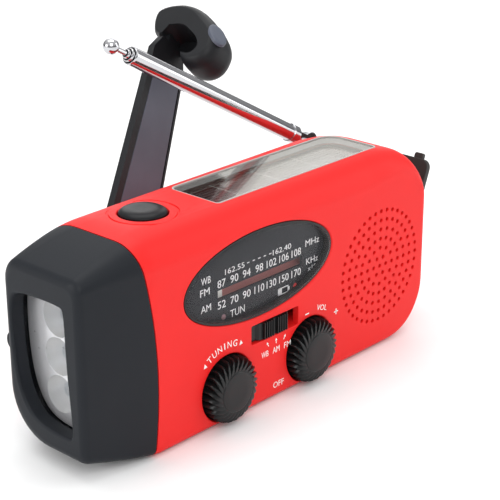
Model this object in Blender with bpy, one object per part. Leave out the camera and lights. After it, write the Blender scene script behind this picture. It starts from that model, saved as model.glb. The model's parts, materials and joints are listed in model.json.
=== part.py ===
"""Hand-crank emergency radio with a torch, a solar panel and a telescopic antenna.

Millimetres until the mesh is made, then metres. +Z up, -Y is the dial side, -X the torch end.
The origin is the middle of the flat base.
"""

import math

import bmesh
import bpy
from mathutils import Matrix, Vector

MM = 0.001
GAP = 0.3  # between pieces that meet

# Case
LENGTH = 130.0
DEPTH = 38.0
HEIGHT = 58.0
WALL = 2.0
LEFT, RIGHT = -LENGTH / 2, LENGTH / 2
FRONT, BACK = -DEPTH / 2, DEPTH / 2
SEAM_Y = 13.5  # front shell in front of it, back shell behind
HEAD_ARC_R = 131.0  # the torch head ends on this arc, seen from the front
HEAD_ARC_X, HEAD_ARC_Z = -174.3, 20.0
HEAD_LENGTH = 22.0
END_CURVE_X = 40.0  # the speaker end curves in from here

# Front controls
DIAL_X, DIAL_Z, DIAL_HALF_W, DIAL_HALF_H = -6.0, 38.1, 28.0, 12.0
BAR_X0, BAR_X1, BAR_Z, BAR_H = -19.9, 12.5, 35.4, 2.4
TUNE_LED = (-17.9, 28.8)
CHARGE_LED = (8.9, 28.9)
KNOB_Z = 9.8
TUNE_X, VOLUME_X = -18.8, 13.4
KNOB_R, WELL_R, WELL_FLOOR = 9.0, 9.35, -15.2
KNOB_FACE = -22.6
POINTER_TRAVEL = 31.0
SLOT_X0, SLOT_X1, SLOT_Z0, SLOT_Z1 = -9.8, 8.6, 18.7, 24.0
SLIDER_LENGTH = 13.8
SPEAKER_X, SPEAKER_Z, SPEAKER_R = 43.5, 25.1, 17.5
HOLE_PITCH, HOLE_R = 2.73, 0.72
HOLE_RINGS = (1, 6, 12, 20, 24, 32, 40)

# Top
BUTTON_X, BUTTON_Y, BUTTON_R = -32.6, -3.7, 6.1
SOLAR_X0, SOLAR_X1, SOLAR_Y0, SOLAR_Y1 = -15.5, 49.0, -12.6, 5.2

# Ports in the speaker end
PORT_Y0, PORT_Y1 = -14.9, 12.2
PORT_FLOOR = ((62.2, 27.2), (58.4, 51.0))  # the recess floor leans in with the end, as (x, z)
COVER_AXIS_X, COVER_AXIS_Z = 64.0, 28.6
COVER_LENGTH, COVER_T = 21.2, 1.8
COVER_OPEN = math.radians(21.7)
USB_A_X, USB_A_Y, USB_A_Z = 60.2, 4.4, 36.0
MICRO_X, MICRO_Y, MICRO_Z = 59.2, -8.6, 43.4

# Crank: the arm leans back from the hub and lies across the back
CRANK_X, CRANK_Z = -19.7, 27.7
ARM_TURN = math.radians(45)  # from straight up towards the speaker end
ARM_LEAN = math.radians(22)  # away from the back
ARM_FOOT = 6.0  # hinge distance from the crank's axis, along the arm
GRIP_AT = 83.0  # grip pin distance along the arm
ARM_T, HINGE_R = 2.2, 2.4
ARM_START = BACK + 3.0  # where the line of the arm meets the crank's axis
GRIP_W = 12.0
TOOTH_MODULE = 0.8
WHEEL_TEETH, PINION_TEETH = 30, 10
IDLER_X, IDLER_Z = -3.7, 27.7
ROTOR_X, ROTOR_Z = 8.8, 37.7

# Antenna
ANTENNA_X, ANTENNA_Y, ANTENNA_Z = 55.5, 18.5, 51.1
ANTENNA_RISE = math.radians(29.1)
TUBE_START, TUBE_END = 6.5, 80.6
TUBE_RADII = ((2.5, 2.15), (1.9, 1.55), (1.3, 0.95))
ROD_R, BALL_R = 0.7, 2.1

SCREWS = ((-39.5, 8.0), (-39.5, 46.0), (31.0, 43.5), (56.0, 8.5))

RED = (0.92, 0.06, 0.05, 1)
BLACK = (0.03, 0.032, 0.036, 1)
SLATE = (0.07, 0.08, 0.1, 1)
STEEL = (0.6, 0.6, 0.62, 1)
GREEN = (0.03, 0.2, 0.07, 1)
WHITE = (0.85, 0.85, 0.82, 1)
BRASS = (0.7, 0.5, 0.2, 1)
COPPER = (0.7, 0.3, 0.12, 1)
CLEAR = (0.85, 0.9, 0.92, 1)


def clear_scene():
    for obj in list(bpy.data.objects):
        bpy.data.objects.remove(obj, do_unlink=True)


def look(name, colour, rough=0.5, metal=0.0):
    mat = bpy.data.materials.new(name)
    mat.use_nodes = True
    shader = mat.node_tree.nodes["Principled BSDF"]
    shader.inputs["Base Color"].default_value = colour
    shader.inputs["Roughness"].default_value = rough
    shader.inputs["Metallic"].default_value = metal
    mat.diffuse_color = colour
    return mat


def piece(name, points, faces, colour=None, rough=0.5, metal=0.0, origin=(0, 0, 0), frame=None):
    """One closed mesh from points in mm. With a frame they are in that frame, else in the world's."""
    mesh = bpy.data.meshes.new(name)
    shift = Vector((0, 0, 0)) if frame else Vector(origin)
    mesh.from_pydata([(Vector(p) - shift) * MM for p in points], [], faces)
    bm = bmesh.new()
    bm.from_mesh(mesh)
    bmesh.ops.recalc_face_normals(bm, faces=bm.faces)
    bm.to_mesh(mesh)
    bm.free()
    mesh.shade_smooth()
    mesh.set_sharp_from_angle(angle=math.radians(35))
    obj = bpy.data.objects.new(name, mesh)
    bpy.context.collection.objects.link(obj)
    if frame:
        obj.matrix_world = Matrix.Translation(frame.translation * MM) @ frame.to_3x3().to_4x4()
    else:
        obj.location = shift * MM
    if colour:
        mesh.materials.append(look(name, colour, rough, metal))
    else:
        obj.hide_render = True
        obj.display_type = "WIRE"
    return obj


def rings(loops):
    """Points and faces of a skin through loops of equal length, with flat ends."""
    count = len(loops[0])
    points = [p for loop in loops for p in loop]
    faces = []
    for i in range(len(loops) - 1):
        for j in range(count):
            k = (j + 1) % count
            faces.append((i * count + j, i * count + k, (i + 1) * count + k, (i + 1) * count + j))
    faces.append(tuple(range(count)))
    faces.append(tuple(range((len(loops) - 1) * count, len(loops) * count)))
    return points, faces


def along(axis, u, v, t):
    """A point with t on the axis and (u, v) on the other two, in X, Y, Z order."""
    return {"X": (t, u, v), "Y": (u, t, v), "Z": (u, v, t)}[axis]


def prism(name, outline, axis, start, end, colour=None, **kw):
    return piece(name, *rings([[along(axis, u, v, t) for u, v in outline] for t in (start, end)]), colour, **kw)


def block(name, low, high, colour=None, **kw):
    outline = [(low[0], low[1]), (high[0], low[1]), (high[0], high[1]), (low[0], high[1])]
    return prism(name, outline, "Z", low[2], high[2], colour, **kw)


def circle(u, v, radius, sides, start=0.0):
    steps = [start + math.tau * i / sides for i in range(sides)]
    return [(u + radius * math.cos(a), v + radius * math.sin(a)) for a in steps]


def ellipse(u, v, a, b, sides):
    return [(u + a * x, v + b * y) for x, y in circle(0, 0, 1, sides)]


def turned(name, centre, axis, profile, sides, colour=None, **kw):
    """A closed profile of (radius, height) turned round an axis. A radius of 0 is the axis itself."""
    points, faces, rows = [], [], []
    for radius, height in profile:
        if radius == 0:
            rows.append([len(points)] * sides)
            points.append(along(axis, centre[0], centre[1], height))
        else:
            rows.append([len(points) + i for i in range(sides)])
            points += [along(axis, u, v, height) for u, v in circle(*centre, radius, sides)]
    for here, there in zip(rows, rows[1:] + rows[:1]):
        for i in range(sides):
            j = (i + 1) % sides
            face = list(dict.fromkeys((here[i], here[j], there[j], there[i])))
            if len(face) > 2:
                faces.append(face)
    return piece(name, points, faces, colour, **kw)


def rod(name, centre, axis, radius, start, end, sides, colour=None, **kw):
    return prism(name, circle(*centre, radius, sides), axis, start, end, colour, **kw)


def change(target, operation, tools):
    for tool in tools:
        mod = target.modifiers.new(tool.name, "BOOLEAN")
        mod.operation = operation
        mod.solver = "EXACT"
        mod.object = tool
    return target


def cut(target, *tools):
    return change(target, "DIFFERENCE", tools)


def join(target, *tools):
    return change(target, "UNION", tools)


# ---------------------------------------------------------------- case


def fall(ratio, power):
    """How far a superellipse of height 1 has fallen, a share of the way along it."""
    return 1 - (1 - min(1.0, max(0.0, ratio)) ** power) ** (1 / power)


def case_limits(x):
    """Front, back, bottom and top of the case at x, and its four corner radii."""
    front, back, bottom, top = FRONT, BACK, 0.0, HEIGHT
    taper = min(1.0, max(0.0, (LEFT + HEAD_LENGTH - x) / HEAD_LENGTH))
    ease = taper**1.25
    edge = 1.8 * fall((LEFT + 1.8 - x) / 1.8, 2)
    front += 3.6 * ease + edge
    back -= 7.4 * ease + edge
    bottom += 4.6 * ease + edge
    top -= 6.6 * ease + edge
    drop = min(1.0, max(0.0, (abs(x - 6) - 16) / 33))
    ratio = max(0.0, (x - END_CURVE_X) / (RIGHT - END_CURVE_X))
    radii = [9 - 6 * taper - 4 * ratio, 13 + 5 * drop - 13 * taper, 8 + 5 * taper, 2.2]
    top -= 22.5 * fall(ratio, 2.7)
    bottom += 30.0 * fall((x - 46) / (RIGHT - 46), 3.0)
    front += 2.4 * fall((x - RIGHT + 2.4) / 2.4, 2)
    back -= 8.0 * fall((x - RIGHT + 8) / 8, 2)
    return front, back, bottom, top, radii


def case_section(x, inset=0.0):
    """The closed outline of the case at x, from the front bottom edge up and round."""
    at = x
    if inset and x > END_CURVE_X:
        at = END_CURVE_X + (x - END_CURVE_X) * (RIGHT - END_CURVE_X) / (RIGHT - END_CURVE_X - inset)
    front, back, bottom, top, radii = case_limits(at)
    front, back, bottom, top = front + inset, back - inset, bottom + inset, top - inset
    most = 0.46 * (top - bottom)
    ft, bt, bb, fb = [min(most, max(0.8, r - inset)) for r in radii]
    corners = (
        (front + fb, bottom + fb, fb, 270),
        (front + ft, top - ft, ft, 180),
        (back - bt, top - bt, bt, 90),
        (back - bb, bottom + bb, bb, 0),
    )
    loop = []
    for y, z, radius, start in corners:
        for step in range(6):
            angle = math.radians(start - 18 * step)
            loop.append((x, y + radius * math.cos(angle), z + radius * math.sin(angle)))
    return loop


END_STATIONS = (40, 45, 50, 54, 57.5, 60.5, 62.8, 64.2, 64.8, 65)
HEAD_STATIONS = (-65, -64.7, -64.2, -63.2, -60, -56.5, -53, -49.5, -46, -43)


def outer_skin(name, colour=None, **kw):
    return piece(name, *rings([case_section(x) for x in HEAD_STATIONS + END_STATIONS]), colour, **kw)


def inner_space(name):
    """What the case holds, less the bosses and posts that stand in it."""
    shrink = (RIGHT - WALL - END_CURVE_X) / (RIGHT - END_CURVE_X)
    right = [END_CURVE_X + (x - END_CURVE_X) * shrink for x in END_STATIONS]
    stations = [-61.1, -56.5, -53, -49.5, -46, -43] + right
    space = piece(name, *rings([case_section(x, WALL) for x in stations]))
    cups = [
        rod(f"cup_{i}", (x, KNOB_Z), "Y", WELL_R + 0.95, FRONT - 1, -13.2, 32)
        for i, x in enumerate((TUNE_X, VOLUME_X))
    ]
    posts = [rod(f"post_{i}", spot, "Y", 3.0, FRONT - 1, BACK + 1, 12) for i, spot in enumerate(SCREWS)]
    (low_x, low_z), (high_x, high_z) = PORT_FLOOR
    side = [(low_x - 1.3, low_z - 1.3), (80, low_z - 1.3), (80, high_z + 1.3), (high_x - 1.7, high_z + 1.3)]
    ports = prism("port_block", side, "Y", PORT_Y0 - 1.2, SEAM_Y - 0.4)
    rail = rod("rail_stock", (ANTENNA_Y, ANTENNA_Z), "X", 4.8, -38, 50, 16)
    boss = block("antenna_boss", (46, SEAM_Y - 0.1, 42.5), (70, 30, 60))
    return cut(space, *cups, *posts, ports, rail, boss)


def head_solid(name, gap):
    """Everything on the torch side of the arc where the head meets the case."""
    return rod(name, (HEAD_ARC_X, HEAD_ARC_Z), "Y", HEAD_ARC_R + gap, -60, 60, 160)


def speaker_holes():
    points, faces = [], []
    for ring, count in enumerate(HOLE_RINGS):
        for u, v in circle(SPEAKER_X, SPEAKER_Z, ring * HOLE_PITCH, count):
            loops = [[along("Y", a, b, t) for a, b in circle(u, v, HOLE_R, 5)] for t in (FRONT - 1, -16.2)]
            base = len(points)
            new_points, new_faces = rings(loops)
            points += new_points
            faces += [tuple(base + i for i in face) for face in new_faces]
    return piece("speaker_holes", points, faces)


def front_shell(space):
    shell = outer_skin("front_shell", RED, rough=0.55)
    tools = [space, block("behind_seam", (-80, SEAM_Y, -10), (80, 60, 80)), head_solid("head_side", GAP / 2)]
    tools.append(prism("dial_hole", ellipse(DIAL_X, DIAL_Z, DIAL_HALF_W, DIAL_HALF_H, 48), "Y", -25, -16.5))
    for name, x in (("tuning", TUNE_X), ("volume", VOLUME_X)):
        tools.append(rod(f"{name}_well", (x, KNOB_Z), "Y", WELL_R, -25, WELL_FLOOR, 32))
        tools.append(rod(f"{name}_bush", (x, KNOB_Z), "Y", 3.2, -16, -12, 16))
    tools.append(block("slider_slot", (SLOT_X0, -25, SLOT_Z0), (SLOT_X1, -16.5, SLOT_Z1)))
    tools.append(speaker_holes())
    tools.append(rod("button_hole", (BUTTON_X, BUTTON_Y), "Z", BUTTON_R + GAP, 50, 70, 32))
    tools.append(block("solar_hole", (SOLAR_X0, SOLAR_Y0, 50), (SOLAR_X1, SOLAR_Y1, 70)))
    (low_x, low_z), (high_x, high_z) = PORT_FLOOR
    side = [(low_x, low_z), (80, low_z), (80, high_z), (high_x, high_z)]
    tools.append(prism("port_recess", side, "Y", PORT_Y0, PORT_Y1))
    tools.append(block("usb_a_hole", (50, USB_A_Y - 6.9, USB_A_Z - 3.2), (80, USB_A_Y + 6.9, USB_A_Z + 3.2)))
    tools.append(block("micro_hole", (50, MICRO_Y - 4.2, MICRO_Z - 1.9), (80, MICRO_Y + 4.2, MICRO_Z + 1.9)))
    for i, spot in enumerate(SCREWS):
        tools.append(rod(f"pilot_{i}", spot, "Y", 1.2, 4, 40, 12))
    return cut(shell, *tools)


def back_shell(space):
    shell = outer_skin("back_shell", RED, rough=0.55)
    tools = [space, block("before_seam", (-80, -60, -10), (80, SEAM_Y + GAP / 2, 80)), bpy.data.objects["head_side"]]
    tools.append(rod("crank_hole", (CRANK_X, CRANK_Z), "Y", 2.9, 5, 40, 20))
    tools.append(rod("antenna_rail", (ANTENNA_Y, ANTENNA_Z), "X", 3.0, -36, 52, 16))
    tools.append(block("antenna_corner", (47.5, 15.7, 44.5), (80, 40, 80)))
    tools.append(rod("antenna_thread", (ANTENNA_X, ANTENNA_Z), "Y", 1.0, 5, 40, 12))
    for i, spot in enumerate(SCREWS):
        tools.append(rod(f"clearance_{i}", spot, "Y", 1.4, 5, 40, 12))
        tools.append(rod(f"counterbore_{i}", spot, "Y", 2.9, 15.9, 40, 16))
    return cut(shell, *tools)


def case_screws():
    for i, spot in enumerate(SCREWS, 1):
        profile = [(0, 5.0), (0.8, 5.6), (0.8, 16.2), (2.5, 16.2), (2.5, 17.3), (1.8, 17.8), (0, 17.8)]
        turned(f"case_screw_{i}", spot, "Y", profile, 12, STEEL, rough=0.35, metal=1.0)


# ---------------------------------------------------------------- torch


def lens_outline(grow):
    """The D-shaped window of the torch as (y, z), drawn outwards by grow."""
    corners = ((6.9, 43.9), (-8.7, 44.4), (-9.9, 43.2), (-10.0, 29.8), (-10.8, 19.0), (-11.4, 11.2))
    corners += ((-10.2, 9.9), (-0.9, 10.2), (4.1, 12.2), (7.5, 17.6), (8.9, 25.0), (9.5, 34.0), (9.2, 41.4))
    middle = Vector((-0.6, 28.0))
    return [tuple(Vector(p) + (Vector(p) - middle).normalized() * grow) for p in corners]


TORCH_Y, LED_ZS = -0.9, (37.4, 27.2, 17.0)


def torch_head(space):
    head = outer_skin("torch_head", BLACK, rough=0.6)
    lug = block("strap_lug", (-59.4, 11.0, 23.2), (-56.6, 18.9, 28.4))
    eye = rod("strap_eye", (16.4, 25.8), "X", 1.2, -64, -55, 12)
    keep = rod("head_keep", (HEAD_ARC_X, HEAD_ARC_Z), "Y", HEAD_ARC_R - GAP / 2, -60, 60, 160)
    join(head, lug)
    change(head, "INTERSECT", [keep])
    return cut(head, space, prism("lens_hole", lens_outline(0), "X", -70, -55), eye)


def torch_insides():
    prism("torch_lens", lens_outline(1.1), "X", -60.8, -59.5, CLEAR, rough=0.1)
    reflector = prism("torch_reflector", lens_outline(1.1), "X", -59.2, -50.4, STEEL, rough=0.15, metal=1.0)
    cups = []
    for i, z in enumerate(LED_ZS):
        profile = [(0, -60.2), (6.7, -60.2), (5.9, -57.4), (4.6, -54), (2.9, -51.2), (2.9, -49), (0, -49)]
        cups.append(turned(f"cup_of_led_{i}", (TORCH_Y, z), "X", profile, 16))
    cut(reflector, *cups)
    for i, z in enumerate(LED_ZS, 1):
        profile = [(0, -57.3), (1.5, -56.8), (2.4, -55), (2.4, -50.2), (2.6, -50.2), (2.6, -49.3), (0, -49.3)]
        turned(f"torch_led_{i}", (TORCH_Y, z), "X", profile, 12, CLEAR, rough=0.1)
    block("torch_board", (-48.9, -10, 11), (-47.4, 8.5, 43), GREEN, rough=0.4)


def torch_switchgear():
    top = HEIGHT
    profile = [(0, 51.8), (1.6, 51.8), (1.6, 54.0), (7.2, 54.0), (7.2, 55.3), (BUTTON_R, 55.3), (BUTTON_R, top + 0.2)]
    profile += [(5.6, top + 0.9), (4.4, top + 1.5), (2.4, top + 1.9), (0, top + 2.0)]
    spot = (BUTTON_X, BUTTON_Y)
    turned("torch_button", spot, "Z", profile, 24, BLACK, rough=0.35, origin=(*spot, top))
    body = block("torch_switch", (spot[0] - 3, spot[1] - 3, 44.2), (spot[0] + 3, spot[1] + 3, 49.4), SLATE)
    join(body, rod("switch_plunger", spot, "Z", 1.6, 48, 50.5, 12))


# ---------------------------------------------------------------- front controls


def dial_set():
    lens = ellipse(DIAL_X, DIAL_Z, DIAL_HALF_W - GAP, DIAL_HALF_H - GAP, 48)
    crown = [(DIAL_X + (x - DIAL_X) * 0.94, DIAL_Z + (z - DIAL_Z) * 0.9) for x, z in lens]
    loops = [[(x, y, z) for x, z in loop] for loop, y in ((lens, -17.0), (lens, -19.1), (crown, -19.5))]
    piece("dial_window", *rings(loops), CLEAR, rough=0.1)
    plate = prism("dial_plate", ellipse(DIAL_X, DIAL_Z, 29.4, 12.8, 40), "Y", -16.7, -15.9, BLACK)
    cut(plate, block("bar_window", (BAR_X0, -18, BAR_Z - BAR_H / 2), (BAR_X1, -14, BAR_Z + BAR_H / 2)))
    for name, spot in (("tuning_led", TUNE_LED), ("charge_led", CHARGE_LED)):
        cut(plate, rod(f"{name}_hole", spot, "Y", 0.9, -18, -14, 12))
        turned(name, spot, "Y", [(0, -15.6), (1.0, -15.3), (1.2, -14.6), (1.2, -12.2), (0, -12.2)], 12, RED)
    tick = block("pointer_tick", (BAR_X0 + 0.4, -15.7, BAR_Z - 1.1), (BAR_X0 + 1.2, -14.9, BAR_Z + 1.1))
    low = (BAR_X0 - 1.4, -15.3, BAR_Z - 2.6)
    pointer = block("dial_pointer", low, (BAR_X0 + 3.0, -14.5, BAR_Z + 2.6), WHITE, origin=(BAR_X0 + 0.8, -15, BAR_Z))
    join(pointer, tick)
    block("pointer_guide", (BAR_X0 - 4, -14.1, BAR_Z - 3.2), (BAR_X1 + 4, -13.2, BAR_Z + 3.2), (0.3, 0.09, 0.09, 1))


def knob(name, x):
    """A fluted knob in its well, with the spindle behind it."""
    flutes = 28
    loops = []
    for y, radius, depth in ((-15.5, KNOB_R, 0), (-16.5, KNOB_R, 0.5), (-19.8, KNOB_R - 0.1, 0.7), (-21.6, 7.6, 0.5)):
        loops.append((y, radius, depth))
    loops.append((-22.3, 5.9, 0.0))
    loops.append((KNOB_FACE, 5.4, 0.0))
    skins = []
    for y, radius, depth in loops:
        spots = circle(0, 0, 1, flutes * 2)
        ring = [(x + u * (radius - depth * (i % 2)), y, KNOB_Z + v * (radius - depth * (i % 2))) for i, (u, v) in enumerate(spots)]
        skins.append(ring)
    body = piece(name, *rings(skins), BLACK, rough=0.4, origin=(x, WELL_FLOOR, KNOB_Z))
    return join(body, rod(f"{name}_spindle", (x, KNOB_Z), "Y", 2.9, -16, -11.2, 16))


def controls():
    for name, x in (("tuning", TUNE_X), ("volume", VOLUME_X)):
        knob(f"{name}_knob", x)
        part = {"tuning": "tuning_capacitor", "volume": "volume_control"}[name]
        body = block(part, (x - 7, -12.9, 2.8), (x + 7, -7.3, 16.8), WHITE if name == "tuning" else SLATE)
        cut(body, rod(f"{name}_socket", (x, KNOB_Z), "Y", 3.2, -14, -10.8, 16))
    x0 = SLOT_X0 + GAP
    z0, z1 = SLOT_Z0 + GAP, SLOT_Z1 - GAP
    profile = [(x0, -16.8), (x0 + SLIDER_LENGTH, -16.8), (x0 + SLIDER_LENGTH, -18.6)]
    for i in range(6):
        right = x0 + SLIDER_LENGTH - 0.9 - 1.35 * i
        profile += [(right, -18.6), (right - 0.15, -19.5), (right - 0.7, -19.5), (right - 0.85, -18.6)]
    profile += [(x0 + 4.4, -18.6), (x0 + 3.4, -17.9), (x0, -17.9)]
    slider = prism("band_slider", profile, "Z", z0, z1, BLACK, rough=0.4, origin=(x0, -17, 21.35))
    join(slider, block("slider_stem", (-5.0, -17.4, 20.2), (-2.0, -15.3, 22.5)))
    body = block("band_switch", (-9.6, -15.9, 18.6), (7.8, -9.0, 24.1), STEEL, rough=0.4, metal=1.0)
    cut(body, block("switch_trough", (-5.4, -17, 19.9), (2.8, -14.9, 22.8)))


def speaker():
    spot = (SPEAKER_X, SPEAKER_Z)
    frame = [(17.1, -16.6), (17.1, -15.2), (16.4, -15.2), (9.6, -8.3), (2.2, -8.3), (2.2, -9.2), (9.0, -9.2)]
    frame += [(15.6, -15.9), (15.6, -16.6)]
    turned("speaker_frame", spot, "Y", frame, 24, STEEL, rough=0.4, metal=1.0)
    cone = [(0, -14.6), (3.6, -14.2), (4.4, -12.2), (13.4, -16.1), (15.2, -16.1), (15.2, -15.9), (13.4, -15.6)]
    cone += [(4.4, -11.2), (1.8, -11.2), (1.8, -9.6), (0, -9.6)]
    turned("speaker_cone", spot, "Y", cone, 24, SLATE, rough=0.9)
    turned("speaker_magnet", spot, "Y", [(0, -8.0), (8, -8.0), (8, -3.4), (7.4, -3), (0, -3)], 24, STEEL, metal=1.0)


# ---------------------------------------------------------------- top and ports


def solar():
    low = (SOLAR_X0 + GAP, SOLAR_Y0 + GAP, 55.9)
    block("solar_window", low, (SOLAR_X1 - GAP, SOLAR_Y1 - GAP, 57.3), CLEAR, rough=0.1)
    low = (SOLAR_X0 - 1.5, SOLAR_Y0 + 0.4, 53.2)
    block("solar_panel", low, (SOLAR_X1 - 0.5, SOLAR_Y1 + 0.4, 54.5), (0.06, 0.01, 0.015, 1))


def socket(name, x, y, z, depth, half_w, half_h, wall):
    """A sheet-metal USB shell with its mouth at x."""
    low, high = (x - depth, y - half_w, z - half_h), (x, y + half_w, z + half_h)
    shell = block(name, low, high, STEEL, rough=0.3, metal=1.0)
    low = (x - depth + 1.5, y - half_w + wall, z - half_h + wall)
    return cut(shell, block(f"{name}_mouth", low, (x + 5, y + half_w - wall, z + half_h - wall)))


def ports():
    large = socket("usb_a_socket", USB_A_X, USB_A_Y, USB_A_Z, 13.4, 6.6, 2.9, 0.35)
    low = (USB_A_X - 12.6, USB_A_Y - 5.6, USB_A_Z + 0.4)
    join(large, block("usb_a_tongue", low, (USB_A_X - 0.8, USB_A_Y + 5.6, USB_A_Z + 2.0)))
    socket("micro_usb_socket", MICRO_X, MICRO_Y, MICRO_Z, 5.4, 3.9, 1.6, 0.4)
    turn = Matrix.Translation((COVER_AXIS_X, 0, COVER_AXIS_Z)) @ Matrix.Rotation(COVER_OPEN, 4, "Y")
    half = COVER_T / 2
    corner = [(x - 2.5, z - 2.5) for x, z in circle(0, 0, 2.5, 16)[:5]]
    left, right = PORT_Y0 + GAP, PORT_Y1 - GAP
    face = [(left, 0), (right, 0)] + [(right + y, COVER_LENGTH + z) for y, z in corner]
    face += [(left - y, COVER_LENGTH + z) for y, z in reversed(corner)]
    flap = prism("port_cover", face, "X", -half, half, BLACK, rough=0.6, frame=turn)
    barrel = rod("cover_barrel", (0, 0), "Y", half + 0.05, left + 0.1, right - 0.1, 12, frame=turn)
    join(flap, barrel, block("cover_tab", (-0.5, -11.9, 20), (0.7, -8.9, COVER_LENGTH + 1.6), frame=turn))


# ---------------------------------------------------------------- inside


def electronics():
    block("main_board", (-34.5, -7.0, 5.0), (22.5, -5.4, 43.6), GREEN, rough=0.4)
    profile = [(0, 10.5), (6.6, 10.5), (7, 11), (7, 50), (6.4, 50.6), (2.5, 50.6), (2.5, 51.6), (0, 51.6)]
    turned("battery", (4.2, 11.1), "X", profile, 20, GREEN)
    rod("ferrite_rod", (3.0, 48.0), "X", 3.4, -24, 22, 14, SLATE)
    turned("aerial_coil", (3.0, 48.0), "X", [(3.7, -10), (4.6, -10), (4.6, 4), (3.7, 4)], 16, COPPER, metal=1.0)


def gear_outline(x, z, teeth, turn):
    """Straight-sided teeth with room between them, so that a pair turns freely."""
    pitch = TOOTH_MODULE * teeth / 2
    step = math.tau / teeth
    outline = []
    for i in range(teeth):
        for radius, share in ((pitch - 0.95, -0.27), (pitch + 0.55, -0.09), (pitch + 0.55, 0.09), (pitch - 0.95, 0.27)):
            angle = turn + step * (i + share)
            outline.append((x + radius * math.cos(angle), z + radius * math.sin(angle)))
    return outline


def wheel_turns():
    """The angle of a tooth on each toothed ring, so that all are in mesh at rest."""
    pinion = math.tau / PINION_TEETH
    to_idler = math.atan2(IDLER_Z - CRANK_Z, IDLER_X - CRANK_X)
    to_rotor = math.atan2(ROTOR_Z - IDLER_Z, ROTOR_X - IDLER_X)
    return {
        "crank": to_idler,
        "idler_pinion": to_idler + math.pi + pinion / 2,
        "idler_wheel": to_rotor,
        "rotor": to_rotor + math.pi + pinion / 2,
    }


def generator():
    turns = wheel_turns()
    crank, idler, rotor = (CRANK_X, CRANK_Z), (IDLER_X, IDLER_Z), (ROTOR_X, ROTOR_Z)
    teeth = gear_outline(*crank, WHEEL_TEETH, turns["crank"])
    wheel = prism("crank_gear", teeth, "Y", 8, 11, WHITE, origin=(CRANK_X, 8, CRANK_Z))
    cut(wheel, rod("gear_bore", crank, "Y", 2.8, 5, 15, 16))
    teeth = gear_outline(*idler, WHEEL_TEETH, turns["idler_wheel"])
    middle = prism("idler_gear", teeth, "Y", 3.6, 6.6, WHITE, origin=(IDLER_X, 5, IDLER_Z))
    small = prism("idler_pinion", gear_outline(*idler, PINION_TEETH, turns["idler_pinion"]), "Y", 6, 11.4)
    join(middle, small, rod("idler_spindle", idler, "Y", 1.2, 1.0, 13.2, 12))
    magnet = rod("rotor", rotor, "Y", 5.6, 7.4, 11.4, 20, SLATE, metal=1.0, origin=(ROTOR_X, 9, ROTOR_Z))
    pinion = prism("rotor_pinion", gear_outline(*rotor, PINION_TEETH, turns["rotor"]), "Y", 3.3, 8)
    join(magnet, pinion, rod("rotor_spindle", rotor, "Y", 1.2, 1.0, 13.2, 12))
    turned("stator_coil", rotor, "Y", [(6.1, 7.4), (8.8, 7.4), (8.8, 11.4), (6.1, 11.4)], 24, COPPER, metal=1.0)
    holes = [(crank, 2.8), (idler, 1.5), (rotor, 1.5)]
    plate = [(-34, 12.8), (9.6, 12.8), (9.6, 18.7), (19.5, 18.7), (19.5, 43.4), (-34, 43.4)]
    frame = prism("gear_frame", plate, "Y", 0.4, 2.0, WHITE, rough=0.5)
    cover = prism("gear_cover", plate, "Y", 11.8, 13.3, WHITE, rough=0.5)
    for i, (spot, radius) in enumerate(holes):
        cut(frame, rod(f"frame_bore_{i}", spot, "Y", radius, -2, 4, 16))
        cut(cover, rod(f"cover_bore_{i}", spot, "Y", radius, 10, 15, 16))
    for i, spot in enumerate(((-32.2, 14.8), (-32.2, 41.4), (17.6, 20.6), (-7.5, 41.6))):
        join(frame, rod(f"pillar_{i}", spot, "Y", 1.6, 1.5, 11.5, 10))


# ---------------------------------------------------------------- crank


def arm_frame(distance):
    """The frame of the arm: x across it, y out of its inner face, z along it, at this distance."""
    out = Vector((math.sin(ARM_TURN) * math.cos(ARM_LEAN), math.sin(ARM_LEAN), math.cos(ARM_TURN) * math.cos(ARM_LEAN)))
    across = Vector((math.cos(ARM_TURN), 0, -math.sin(ARM_TURN)))
    inner = across.cross(out)
    basis = Matrix((across, inner, out)).transposed().to_4x4()
    start = Vector((CRANK_X, ARM_START, CRANK_Z))
    return Matrix.Translation(start + out * distance) @ basis


def crank_hub():
    spot = (CRANK_X, CRANK_Z)
    profile = [(0, 1.2), (2.5, 1.2), (2.5, BACK + 0.35), (13, BACK + 0.35), (13, BACK + 1.6)]
    profile += [(12.4, BACK + 2.1), (0, BACK + 2.1)]
    hub = turned("crank_hub", spot, "Y", profile, 32, BLACK, rough=0.5, origin=(CRANK_X, BACK, CRANK_Z))
    hinge = arm_frame(ARM_FOOT)
    flat = Matrix.Translation(hinge.translation) @ Matrix.Rotation(ARM_TURN, 4, "Y")
    for i, side in enumerate((-1, 1)):
        low, high = sorted((side * 4.0, side * 6.6))
        arch = [(-3.8, -3.6)] + [(-z, y) for z, y in circle(0, 0, HINGE_R, 12)[:7]] + [(3.8, -3.6)]
        join(hub, piece(f"hub_lug_{i}", *rings([[(x, y, z) for z, y in arch] for x in (low, high)]), frame=flat))
    bore = rod("hub_bore", (0, 0), "X", 1.3, -10, 10, 12, frame=flat)
    return cut(hub, bore)


def arm_edges(distance, inset=0.0):
    """The left and right edges of the arm at this distance along it."""
    return -9.6 + 0.023 * (distance - 18) + inset, 9.7 - 0.061 * (distance - 39) - inset


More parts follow.
